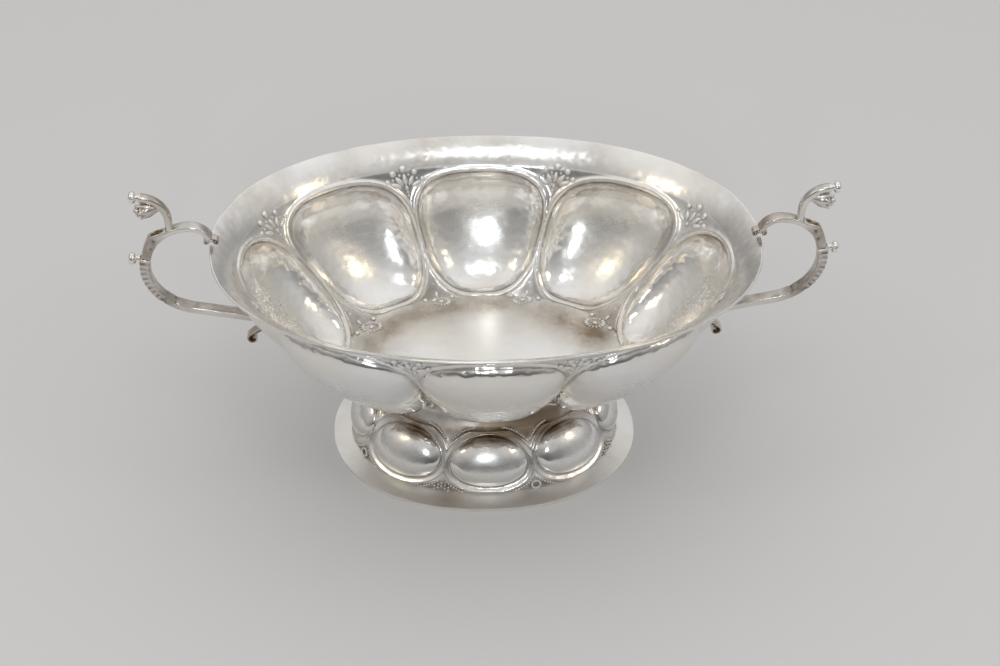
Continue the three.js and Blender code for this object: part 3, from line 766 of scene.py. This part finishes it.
def curl_eye(whole, x, z, half, half_width):
    """Adds the bead in the middle of a curl to whole."""
    eye = bmesh.new()
    bmesh.ops.create_uvsphere(eye, u_segments=16, v_segments=10, radius=1)
    bmesh.ops.scale(eye, vec=Vector((half, half_width, half)), verts=eye.verts)
    bmesh.ops.translate(eye, vec=Vector((x, 0, z)), verts=eye.verts)
    join(whole, eye)


def rounded_block(size, shift, radius, segments):
    """Block with rounded edges, its middle shifted along X."""
    block = bmesh.new()
    bmesh.ops.create_cube(block, size=1)
    bmesh.ops.scale(block, vec=Vector(size), verts=block.verts)
    bmesh.ops.translate(block, vec=Vector((shift, 0, 0)), verts=block.verts)
    bmesh.ops.bevel(
        block, geom=block.edges[:], offset=radius, offset_type="OFFSET", segments=segments, profile=0.5,
        affect="EDGES", material=-1,
    )
    return block


def rim_curls():
    """Pair of small volutes that clasp the rim, with their eyes, and the clasp under the arm."""
    middle = RIM_HALF_LENGTH + ARM_SET_OUT
    height = RIM_HEIGHT + VOLUTE_RISE
    spread = VOLUTE_SPREAD / 2
    whole = bmesh.new()
    for side in (-1, 1):
        lead = [Vector((middle + side * 0.25, height + 1.5))]
        x = middle + side * spread
        run = curl_run(x, height, VOLUTE_RADIUS, VOLUTE_END_RADIUS, 90, -side * VOLUTE_TURN)
        path = Path(lead, run)

        def section(s):
            half = blend(0.32, 0.2, s / path.length)
            return strap_section(half, half, VOLUTE_WIDTH / 2 - 0.15 * s / path.length, VOLUTE_CORNER)

        # Painted shade on the curl's inner faces, in its crevices
        def grime(s, out, across):
            return 0.6 if out * side < 0 else 0.05

        join(whole, sweep(path, steps(0, path.length, 0.25), section, grime))
        curl_eye(whole, x, height, VOLUTE_EYE_HALF, VOLUTE_WIDTH / 2 + VOLUTE_EYE_PROUD)
    clasp = rounded_block((1.5, VOLUTE_WIDTH, 1.6), 0, 0.4, 3)
    bmesh.ops.translate(clasp, vec=Vector((middle, 0, height + 0.6)), verts=clasp.verts)
    join(whole, clasp)
    return whole


def join(whole, part):
    """Adds the mesh of part to whole."""
    mesh = bpy.data.meshes.new("joined")
    part.to_mesh(mesh)
    part.free()
    whole.from_mesh(mesh)
    bpy.data.meshes.remove(mesh)


def tail_curl():
    """Tail that leaves the wall under the lower arm and curls down, out and back under."""
    x, z = TAIL_POINT.x + TAIL_OUT, TAIL_POINT.y - TAIL_DROP
    curl = curl_run(x, z, TAIL_CURL_RADIUS, TAIL_END_RADIUS, TAIL_CURL_START, -TAIL_TURN)
    bend = curl[0] - (curl[1] - curl[0]).normalized() * TAIL_LEAD
    root = WALL_POINT - Vector((TAIL_ROOT_INSET / 2, STRAP_HALF + TAIL_HALF + TAIL_ROOT_GAP))
    parts = [k / 20 for k in range(20)]
    lead = [root.lerp(bend, t).lerp(bend.lerp(curl[0], t), t) for t in parts]
    path = Path(lead, curl)

    def section(s):
        half = blend(TAIL_HALF, TAIL_TIP_HALF, s / path.length)
        half_width = blend(STRAP_WIDTH / 2, TAIL_TIP_HALF_WIDTH, s / path.length)
        return strap_section(half, half, half_width, TAIL_CORNER)

    # Painted shade on the tail's inner face, inside its curl
    def grime(s, out, across):
        return 0.15 if out > 0 else 1.0

    whole = sweep(path, steps(0, path.length, 0.35), section, grime)
    curl_eye(whole, x, z, TAIL_EYE_HALF, TAIL_EYE_HALF_WIDTH)
    return whole


def aimed(bm, spot, direction):
    """Turns an upright piece so that its axis leaves a spot in the handle's plane, at an angle."""
    turn = Matrix.Rotation(pi / 2 - direction, 4, "Y")
    bmesh.ops.transform(bm, matrix=Matrix.Translation((spot.x, 0, spot.y)) @ turn, verts=bm.verts)
    return bm


def turned(profile, spot, direction, segments=32):
    bm = spin_chain(profile, segments, False)
    bmesh.ops.recalc_face_normals(bm, faces=bm.faces)
    return aimed(bm, spot, direction)


def knop_profile(rows=24):
    """Button bead with a fine line round its edge."""
    points = []
    for k in range(rows + 1):
        turn = pi * k / rows
        line = KNOP_LINE_DEPTH * hump(turn, pi / 2, KNOP_LINE_WIDTH)
        radius = 0 if k in (0, rows) else KNOP_RADIUS * sin(turn) ** KNOP_FULLNESS - line
        points.append((radius, KNOP_HALF_THICKNESS * (1 - cos(turn))))
    return points


# Points (radius, height) of the turned stem between a bead and its strap
STEM_PROFILE = [
    (0, -0.3), (1.2, -0.3), (1.34, -0.1), (1.34, 0.25), (1.2, 0.42), (1.0, 0.5), (0.97, 0.8),
    (1.0, 1.25), (0, 1.25),
]

JOINT = Path(middle_back_run)
BACK_LINE = Vector((JOINT.point(0).x + BACK_HALF + JOINT_PROUD + SEAM, JOINT.point(0).y))
TIP_DIRECTION = radians(SCROLL_TIP_ANGLE - 90)


def ahead(start, direction, distance):
    return start + Vector((cos(direction), sin(direction))) * distance


TIP_LINE = ahead(scroll_run[-1], TIP_DIRECTION, SEAM)


def joint_band():
    """Narrow band round the back where the two castings meet, level with its inner side."""
    point, tangent = JOINT.at(0)
    size = (2 * BACK_HALF + JOINT_PROUD, STRAP_WIDTH + 2 * JOINT_PROUD, JOINT_THICKNESS)
    return aimed(rounded_block(size, JOINT_PROUD / 2, 0.3, 4), point, atan2(-tangent.y, -tangent.x))


BUD_DIRECTION = radians(BUD_TILT - 90)
BUD_START = Path(scroll_run).point(Path(scroll_run).length * SCROLL_BUD_PLACE)

# Bud, in shares of its radius and length. Grooves and flare have a start, a rise and a depth
BUD_LEAVES = 7
BUD_GROOVES = (0.66, 0.3, 0.2)
BUD_FLARE = (0.78, 0.22, 0.16)
BUD_NOTCH_START = 0.8
BUD_NOTCH_DEPTH = 4.5
BUD_RINGS = [
    (0, 0), (0.34, 0.02), (0.4, 0.12), (0.48, 0.23), (0.62, 0.33), (0.78, 0.43), (0.9, 0.54),
    (0.97, 0.65), (1, 0.76), (0.99, 0.88), (0.96, 1),
]
BUD_INSIDE = [(0.8, 0.98), (0.74, 0.88), (0.7, 0.8), (0.5, 0.76), (0.0, 0.74)]


def leaf_bud():
    """Bud of joined leaves that swells out of its stem, hollow at its notched mouth."""
    chain = BUD_RINGS + BUD_INSIDE
    bm = spin_chain([(r * BUD_RADIUS, h * BUD_LENGTH) for r, h in chain], 72, False)
    tarnish_and_shade = bm.verts.layers.float.new("tarnish_and_shade")
    for vert in bm.verts:
        height = vert.co.z / BUD_LENGTH
        leaf = 0.5 + 0.5 * cos(BUD_LEAVES * atan2(vert.co.y, vert.co.x))
        grip = blend(0, 1, (height - BUD_GROOVES[0]) / BUD_GROOVES[1])
        flare = BUD_FLARE[2] * leaf * blend(0, 1, (height - BUD_FLARE[0]) / BUD_FLARE[1])
        vert.co.xy *= 1 - BUD_GROOVES[2] * grip * (1 - leaf) ** 2.2 + flare
        if height > BUD_NOTCH_START:
            vert.co.z -= (height - BUD_NOTCH_START) * BUD_NOTCH_DEPTH * (1 - leaf)
        # Painted shade in the grooves between the leaves
        vert[tarnish_and_shade] = 0.05 + 0.55 * (1 - leaf) ** 2 * grip
    bmesh.ops.recalc_face_normals(bm, faces=bm.faces)
    return aimed(bm, BUD_START, BUD_DIRECTION)


# Seed grains round the bud's mouth and on top of them: reach, radius and rise over the others
ROUND_GRAINS = (1.35, 0.95, 0.0)
TOP_GRAIN = (0.0, 0.9, 0.45)
GRAIN_HEIGHT = BUD_LENGTH + 0.7


def seed_grains():
    whole = bmesh.new()
    turns = [2 * pi * k / 3 for k in range(3)]
    for turn, (reach, radius, rise) in [(turn, ROUND_GRAINS) for turn in turns] + [(0.0, TOP_GRAIN)]:
        grain = bmesh.new()
        bmesh.ops.create_icosphere(grain, subdivisions=3, radius=radius)
        spot = Vector((reach * cos(turn), reach * sin(turn), GRAIN_HEIGHT + rise))
        bmesh.ops.translate(grain, vec=spot, verts=grain.verts)
        join(whole, grain)
    return aimed(whole, BUD_START, BUD_DIRECTION)


# Chased ornament in the corners between lobes

BROAD_MARK = 0.6
LEAF_RATIO = 1.5


def bead(whole, matrix, length, width, height):
    """Punched pearl or leaf, half sunk in the sheet, with more faces where it is broad."""
    grain = bmesh.new()
    if max(length, width) > BROAD_MARK:
        bmesh.ops.create_icosphere(grain, subdivisions=2, radius=1)
    else:
        bmesh.ops.create_uvsphere(grain, u_segments=8, v_segments=5, radius=1)
    tarnish_and_shade = grain.verts.layers.float.new("tarnish_and_shade")
    taper = 0.35 if length > width * LEAF_RATIO else 0
    for vert in grain.verts:
        vert.co.y *= 1 - taper * max(vert.co.x, 0)
        # Painted shade round the bead's foot, where it meets the sheet
        vert[tarnish_and_shade] = 0.8 * max(1 - abs(vert.co.z) / 0.7, 0)
    bmesh.ops.scale(grain, vec=Vector((length, width, height)), verts=grain.verts)
    bmesh.ops.transform(grain, matrix=matrix, verts=grain.verts)
    join(whole, grain)


def surface_matrix(ground, share, v, x, y, turn, lift):
    """Frame on the shell, x and y millimetres from (share, v), turned in the surface."""
    at_v = ground.climb(v, y)
    half_length, half_width, _ = ground.row(at_v)
    at_share = share + x / (OVAL_GIRTH * (half_length + half_width))
    along, up, normal = ground.ways(at_share, at_v)
    first = along * cos(turn) + up * sin(turn)
    second = normal.cross(first)
    matrix = Matrix((first, second, normal)).transposed().to_4x4()
    matrix.translation = ground.place(at_share, at_v) + normal * lift
    return matrix


def fan(bearings, reach, length, width, height):
    """Marks set out like a fan: (x, y, turn, length, width, height) each."""
    turns = [radians(90 + bearing) for bearing in bearings]
    return [(reach * cos(t), reach * sin(t), t, length, width, height) for t in turns]


def spray():
    """Five petals with a pearl at each tip, seeds between them and a stem of small pearls."""
    return (
        fan((-62, -31, 0, 31, 62), 3.9, 2.1, 0.92, 0.6)
        + fan((-46, -15.5, 15.5, 46), 5.7, 0.5, 0.5, 0.42)
        + fan((-60, 60), 6.9, 0.95, 0.95, 0.6)
        + fan((-30, 30), 7.4, 1.15, 1.15, 0.7)
        + fan((0,), 7.7, 1.35, 1.35, 0.8)
        + fan((0,), 0.6, 1.0, 0.65, 0.5)
        + fan((180,), 1.1, 0.5, 0.5, 0.4)
        + fan((180,), 2.3, 0.42, 0.42, 0.35)
    )


def ribbed_curl():
    """Curl of radial ribs on the floor's edge, a pearl on either side and a drop above."""
    marks = []
    for k in range(15):
        turn = 2 * pi * k / 16 + 0.4
        marks.append((2.5 * cos(turn), 2.2 * sin(turn) - 2.9, turn, 0.85, 0.36, 0.5))
    marks.append((0, -2.9, 0, 1.0, 0.8, 0.6))
    marks += [(side * 4.6, -0.9, 0, 0.9, 0.9, 0.75) for side in (-1, 1)]
    return marks + fan((0,), 1.6, 1.2, 0.65, 0.5)


def pearl_cluster():
    """Pearls at the place where two lobes part, on the outside."""
    spots = ((-1.2, 0.8), (1.2, 0.8), (-1.9, -0.7), (1.9, -0.7), (0, -2.1))
    return [(x, y, 0, 0.6, 0.6, 0.7) for x, y in spots] + [(0, -0.4, 0, 0.85, 0.85, 0.9)]


def ring_punch():
    """Ring of a hollow punch with a dot in it."""
    turns = [2 * pi * k / 12 for k in range(12)]
    return [(1.4 * cos(t), 1.4 * sin(t), t + pi / 2, 0.55, 0.4, 0.75) for t in turns]


def dotted_wedge():
    """Rows of dots that meet in a point."""
    spots = [(x, row) for row in (0, 1.25) for x in (-2, -1, 0, 1, 2)]
    return [(x * 1.15, 0.7 * abs(x) - 1.3 + row, 0, 0.42, 0.42, 0.7) for x, row in spots]


def ornament(name, marks, ground, v, lift, corners=range(LOBES)):
    """Marks (x, y, turn, length, width, height) repeated in the corners between lobes."""
    whole = bmesh.new()
    for k in corners:
        for x, y, turn, length, width, height in marks:
            matrix = surface_matrix(ground, (k + 0.5) / LOBES, v, x, y, turn, lift)
            bead(whole, matrix, length, width, height)
    return to_object(whole, name)


def outline_spot(lobe, turn, distance):
    """Offset in shares of the pitch, and v, of a spot beside a lobe's outline."""
    def edge(angle):
        c, s = cos(angle), sin(angle)
        reach, corner = lobe_half(lobe, s > 0)
        out = girth(c, s, corner)
        return Vector((c / out * lobe.span * lobe.pitch / 2, s / out * reach * lobe.slant))

    tangent = (edge(turn + TINY) - edge(turn - TINY)).normalized()
    spot = edge(turn) + Vector((tangent.y, -tangent.x)) * distance
    return spot.x / lobe.pitch, lobe.middle + spot.y / lobe.slant


def bead_rows(name, ground, lobe, sectors, distance, spacing, radius, lift, samples=240):
    """Rows of small beads beside the outline of every lobe, between the angles of each sector."""
    whole = bmesh.new()
    for start, end in sectors:
        travelled, before = spacing, None
        for k in range(samples + 1):
            offset, v = outline_spot(lobe, radians(blend(start, end, k / samples)), distance)
            here = Vector((offset * lobe.pitch, v * lobe.slant))
            travelled += (here - before).length if before else 0
            before = here
            if travelled < spacing:
                continue
            travelled -= spacing
            for number in range(LOBES):
                matrix = surface_matrix(ground, (number + offset) / LOBES, v, 0, 0, 0, lift)
                bead(whole, matrix, radius, radius, radius * 0.85)
    return to_object(whole, name)


# Finishes

# Colours of the brown tint with painted reflection and shade, and of tarnish with painted shade
TINT_AND_REFLECTION_COLOUR = (0.31, 0.24, 0.175, 1)
TARNISH_AND_SHADE_COLOUR = (0.16, 0.115, 0.075, 1)


def node(tree, kind, inputs=(), **values):
    """New shader node. Each of its inputs is a value, or the output that it is linked to."""
    made = tree.nodes.new("ShaderNode" + kind)
    for key, value in values.items():
        setattr(made, key, value)
    for key, value in dict(inputs).items():
        if isinstance(value, bpy.types.NodeSocket):
            tree.links.new(value, made.inputs[key])
        else:
            made.inputs[key].default_value = value
    return made


def silver(slot, name, bright, warm, roughness, tarnish_and_shade, marks, mark_depth, plain_dulling=0.0):
    """Old polished silver with marks, rubbing, patches, tarnish with painted shade and a brown tint
    with painted reflection: its material and its slot.
    """
    material = bpy.data.materials.new(name)
    material.use_nodes = True
    tree = material.node_tree
    place = node(tree, "TexCoord").outputs["Object"]

    def layer(attribute):
        return node(tree, "Attribute", attribute_name=attribute).outputs["Fac"]

    def clouds(vector, scale, detail, **more):
        inputs = {"Vector": vector, "Scale": scale, "Detail": detail, **more}
        return node(tree, "TexNoise", inputs).outputs["Fac"]

    def ranged(value, from_min, from_max, to_min, to_max):
        return node(tree, "MapRange", {
            "Value": value, "From Min": from_min, "From Max": from_max,
            "To Min": to_min, "To Max": to_max,
        }).outputs["Result"]

    def worked_out(operation, *inputs, clamp=False):
        return node(tree, "Math", enumerate(inputs), operation=operation, use_clamp=clamp).outputs[0]

    def mixed(factor, first, second):
        inputs = {"Factor": factor, "A": first, "B": second}
        return node(tree, "Mix", inputs, data_type="RGBA").outputs["Result"]

    patches = node(tree, "ValToRGB", {"Fac": clouds(place, 38, 4)})
    for element, position, colour in zip(patches.color_ramp.elements, (0.42, 0.6), (warm, bright)):
        element.position = position
        element.color = (*colour, 1)
    # Brown tint, painted reflection and painted shade from the per-point attribute, varied in hazy
    # patches
    tint_variation = ranged(clouds(place, 95, 6, Roughness=0.65), 0.35, 0.65, 0.55, 1.25)
    tint_and_reflection_share = worked_out("MULTIPLY", layer("tint_and_reflection"), tint_variation, clamp=True)
    tinted = mixed(tint_and_reflection_share, patches.outputs["Color"], TINT_AND_REFLECTION_COLOUR)

    # Tarnish and painted shade from the per-point attribute, broken up by fine noise
    kept = worked_out("MULTIPLY", layer("tarnish_and_shade"), clouds(place, 420, 5))
    tarnished_and_shaded = worked_out("MULTIPLY", kept, tarnish_and_shade, clamp=True)
    colour = mixed(tarnished_and_shaded, tinted, TARNISH_AND_SHADE_COLOUR)

    rubbed = node(tree, "Mapping", {
        "Vector": place, "Scale": (160, 900, 900), "Rotation": (0.3, 0.2, 0.5),
    })
    scratches = clouds(rubbed.outputs["Vector"], 1, 6)
    scratched = ranged(scratches, 0.3, 0.75, roughness, roughness + 0.05)
    work = layer("worked")
    dulled = worked_out("MULTIPLY_ADD", tarnished_and_shaded, 0.3, scratched)
    dullness = worked_out("ADD", dulled, ranged(work, 0, 0.5, plain_dulling, 0))

    hammer = node(tree, "TexVoronoi", {
        "Vector": place, "Scale": marks, "Smoothness": 0.9,
    }, feature="SMOOTH_F1")
    dents = node(tree, "Bump", {
        "Height": hammer.outputs["Distance"], "Distance": mark_depth,
        "Strength": worked_out("MULTIPLY", work, 0.8),
    })
    grain = node(tree, "Bump", {
        "Height": scratches, "Distance": 0.00003, "Strength": 0.12, "Normal": dents.outputs["Normal"],
    })

    shader = tree.nodes["Principled BSDF"]
    shader.inputs["Metallic"].default_value = 1
    tree.links.new(colour, shader.inputs["Base Color"])
    tree.links.new(dullness, shader.inputs["Roughness"])
    tree.links.new(grain.outputs["Normal"], shader.inputs["Normal"])
    return material, slot


# Slot, name, bright and warm colour, roughness, strength of tarnish and painted shade, hammer marks
# per metre, their depth, and the roughness added on plain sheet
bowl_silver = silver(
    "silver_bowl", "polished_bowl_silver",
    (0.95, 0.95, 0.95), (0.92, 0.9, 0.86), 0.14, 1.6, 360, 0.00038, 0.22,
)
foot_silver = silver(
    "silver_foot", "polished_foot_silver",
    (0.93, 0.925, 0.915), (0.89, 0.87, 0.83), 0.13, 1.6, 380, 0.0003, 0.28,
)
strap_silver = silver(
    "silver_strap", "cast_strap_silver",
    (0.86, 0.84, 0.81), (0.68, 0.62, 0.56), 0.16, 2.1, 500, 0.0001,
)
ornament_silver = silver(
    "silver_ornament", "cast_ornament_silver",
    (0.84, 0.82, 0.79), (0.66, 0.6, 0.54), 0.2, 2.1, 600, 0.0001,
)
knop_silver = silver(
    "silver_bead", "rubbed_knop_silver",
    (0.94, 0.93, 0.91), (0.86, 0.83, 0.78), 0.12, 0.9, 600, 0.00004,
)


# Pieces on the frame

def set_up(piece, finish, *nodes):
    material, slot = finish
    piece.data.materials.append(material)
    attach(piece, "root")
    if nodes:
        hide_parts(*nodes)


def both_sides(name, bm, finish, cad_node):
    """The right handle's piece, and the same piece turned half round for the left."""
    other = bm.copy()
    bmesh.ops.rotate(other, cent=(0, 0, 0), matrix=Matrix.Rotation(pi, 3, "Z"), verts=other.verts)
    for side, mesh in (("right", bm), ("left", other)):
        set_up(to_object(mesh, f"{side}_{name}"), finish, f"{side}_{cad_node}")


set_up(raised_bowl(), bowl_silver, "bowl_body")
set_up(raised_foot(), foot_silver, "foot")

# Heights in v of the ornament, and angles round a lobe's outline between which rows of beads run
SPRAY_V = 0.85
PEARL_V = 0.12
PUNCH_V = 1.93
PUNCH_LIFT = 0.15
ROPE_SECTORS = ((-62, -14), (-118, -166))
FOOT_SECTORS = ((-66, -32), (-114, -148), (62, 34), (118, 146))

bowl_ornament = (
    ornament("inside_sprays", spray(), bowl_ground, SPRAY_V, -SHEET_GAUGE),
    ornament("outside_sprays", spray(), bowl_ground, SPRAY_V, 0),
    ornament("inside_curls", ribbed_curl(), bowl_ground, 0, -SHEET_GAUGE),
    ornament("outside_pearls", pearl_cluster(), bowl_ground, PEARL_V, 0),
    bead_rows("outside_rope", bowl_ground, bowl_lobe, ROPE_SECTORS, 2.1, 0.95, 0.42, 0.1),
)
foot_ornament = (
    bead_rows("foot_bead_rows", foot_ground, foot_boss, FOOT_SECTORS, 3.2, 0.95, 0.46, 0.2),
    ornament("foot_ring_punches", ring_punch(), foot_ground, PUNCH_V, PUNCH_LIFT, range(0, LOBES, 2)),
    ornament("foot_dot_wedges", dotted_wedge(), foot_ground, PUNCH_V, PUNCH_LIFT, range(1, LOBES, 2)),
)
for pieces, finish in ((bowl_ornament, bowl_silver), (foot_ornament, foot_silver)):
    for piece in pieces:
        set_up(piece, finish)

for make, finish, cad_node in (
    (rim_curls, ornament_silver, "rim_volutes"), (upper_arm, strap_silver, "upper_handle"),
    (joint_band, strap_silver, "joint_collar"), (lower_arm, strap_silver, "lower_handle"),
    (tail_curl, ornament_silver, "handle_tail"), (thumb_curl, strap_silver, "thumb_scroll"),
    (leaf_bud, ornament_silver, "scroll_bud"), (seed_grains, ornament_silver, "bud_grains"),
):
    both_sides(make.__name__, make(), finish, cad_node)
for knop, start, direction in (("thumb", TIP_LINE, TIP_DIRECTION), ("back", BACK_LINE, 0.0)):
    stem = turned(STEM_PROFILE, start, direction)
    both_sides(f"{knop}_knop_stem", stem, knop_silver, f"{knop}_bead_collar")
    button = turned(knop_profile(), ahead(start, direction, STEM_LENGTH + SEAM), direction)
    both_sides(f"{knop}_knop", button, knop_silver, f"{knop}_bead")


# Floor, light and camera, placed in metres

def pale_floor(radius=4000):
    bm = bmesh.new()
    bmesh.ops.create_circle(bm, cap_ends=True, segments=96, radius=radius)
    floor = to_object(bm, "pale_floor")
    material = bpy.data.materials.new("pale_paper")
    material.use_nodes = True
    shader = material.node_tree.nodes["Principled BSDF"]
    shader.inputs["Base Color"].default_value = (0.72, 0.72, 0.73, 1)
    shader.inputs["Roughness"].default_value = 0.8
    floor.data.materials.append(material)


def lamp(name, place, target, size, energy, colour):
    light = bpy.data.lights.new(name, "AREA")
    light.shape = "ELLIPSE"
    light.size, light.size_y = size
    light.energy = energy
    light.color = colour
    lit = linked(name, light)
    lit.location = place
    lit.rotation_euler = (Vector(target) - Vector(place)).to_track_quat("-Z", "Y").to_euler()


pale_floor()

# Each lamp's place, aim, size, power and colour
lamp("key_light", (-0.04, -0.74, 0.47), (0, 0, 0.06), (0.1, 0.14), 0.55, (0.9, 0.96, 1.0))
lamp("upper_light", (0, -0.36, 0.85), (0, 0, 0.06), (0.28, 0.2), 0.35, (0.94, 0.98, 1.0))
lamp("back_softbox", (0.1, 0.95, 0.9), (0, 0, 0.05), (1.4, 0.9), 0.5, (1.0, 1.0, 1.0))
lamp("left_light", (-0.72, -0.3, 0.8), (0, 0, 0.05), (0.2, 0.2), 0.5, (1.0, 0.82, 0.55))
lamp("right_light", (0.75, -0.35, 0.72), (0, 0, 0.05), (0.2, 0.2), 0.45, (1.0, 0.84, 0.58))


def studio_world():
    """Soft light from all round, stronger overhead and weaker from the dim room in front."""
    world = bpy.data.worlds.new("studio")
    bpy.context.scene.world = world
    world.use_nodes = True
    tree = world.node_tree
    outlook = node(tree, "TexCoord").outputs["Generated"]
    split = node(tree, "SeparateXYZ", {0: outlook})
    overhead = node(tree, "MapRange", {
        "Value": split.outputs["Z"], "To Min": 0.3, "To Max": 0.9,
    }, interpolation_type="SMOOTHSTEP")
    facing = node(tree, "VectorMath", {0: outlook, 1: (0, -0.87, 0.5)}, operation="DOT_PRODUCT")
    dim = node(tree, "MapRange", {
        "Value": facing.outputs["Value"], "From Min": 0.4, "To Max": 0.24,
    }, interpolation_type="SMOOTHSTEP")
    strength = node(tree, "Math", {
        0: overhead.outputs["Result"], 1: dim.outputs["Result"],
    }, operation="SUBTRACT")
    background = tree.nodes["Background"]
    background.inputs["Color"].default_value = (1, 0.99, 0.975, 1)
    tree.links.new(strength.outputs[0], background.inputs["Strength"])


studio_world()

# The photograph's view: its turn, rise and roll, and its distance and aim in millimetres
CAMERA_TURN = radians(-3.81)
CAMERA_RISE = radians(39.13)
CAMERA_ROLL = radians(1.31)
CAMERA_DISTANCE = 583.3
CAMERA_TARGET = Vector((4.62, 0, 41.25))
FOCAL_PIXELS = 1800
PHOTO_WIDTH = 1000

back = Vector((
    sin(CAMERA_TURN) * cos(CAMERA_RISE),
    -cos(CAMERA_TURN) * cos(CAMERA_RISE),
    sin(CAMERA_RISE),
))
level = Vector((cos(CAMERA_TURN), sin(CAMERA_TURN), 0))
rise = back.cross(level)
right = level * cos(CAMERA_ROLL) + rise * sin(CAMERA_ROLL)
upright = rise * cos(CAMERA_ROLL) - level * sin(CAMERA_ROLL)
lens = bpy.data.cameras.new("photo_camera")
lens.sensor_fit = "HORIZONTAL"
lens.sensor_width = 36
lens.lens = FOCAL_PIXELS * lens.sensor_width / PHOTO_WIDTH
lens.clip_start = 0.01
camera = linked("photo_camera", lens)
pose = Matrix((right, upright, back)).transposed().to_4x4()
pose.translation = (CAMERA_TARGET + back * CAMERA_DISTANCE) * MILLIMETRE
camera.matrix_world = pose
bpy.context.scene.camera = camera
bpy.context.scene.view_settings.view_transform = "Standard"
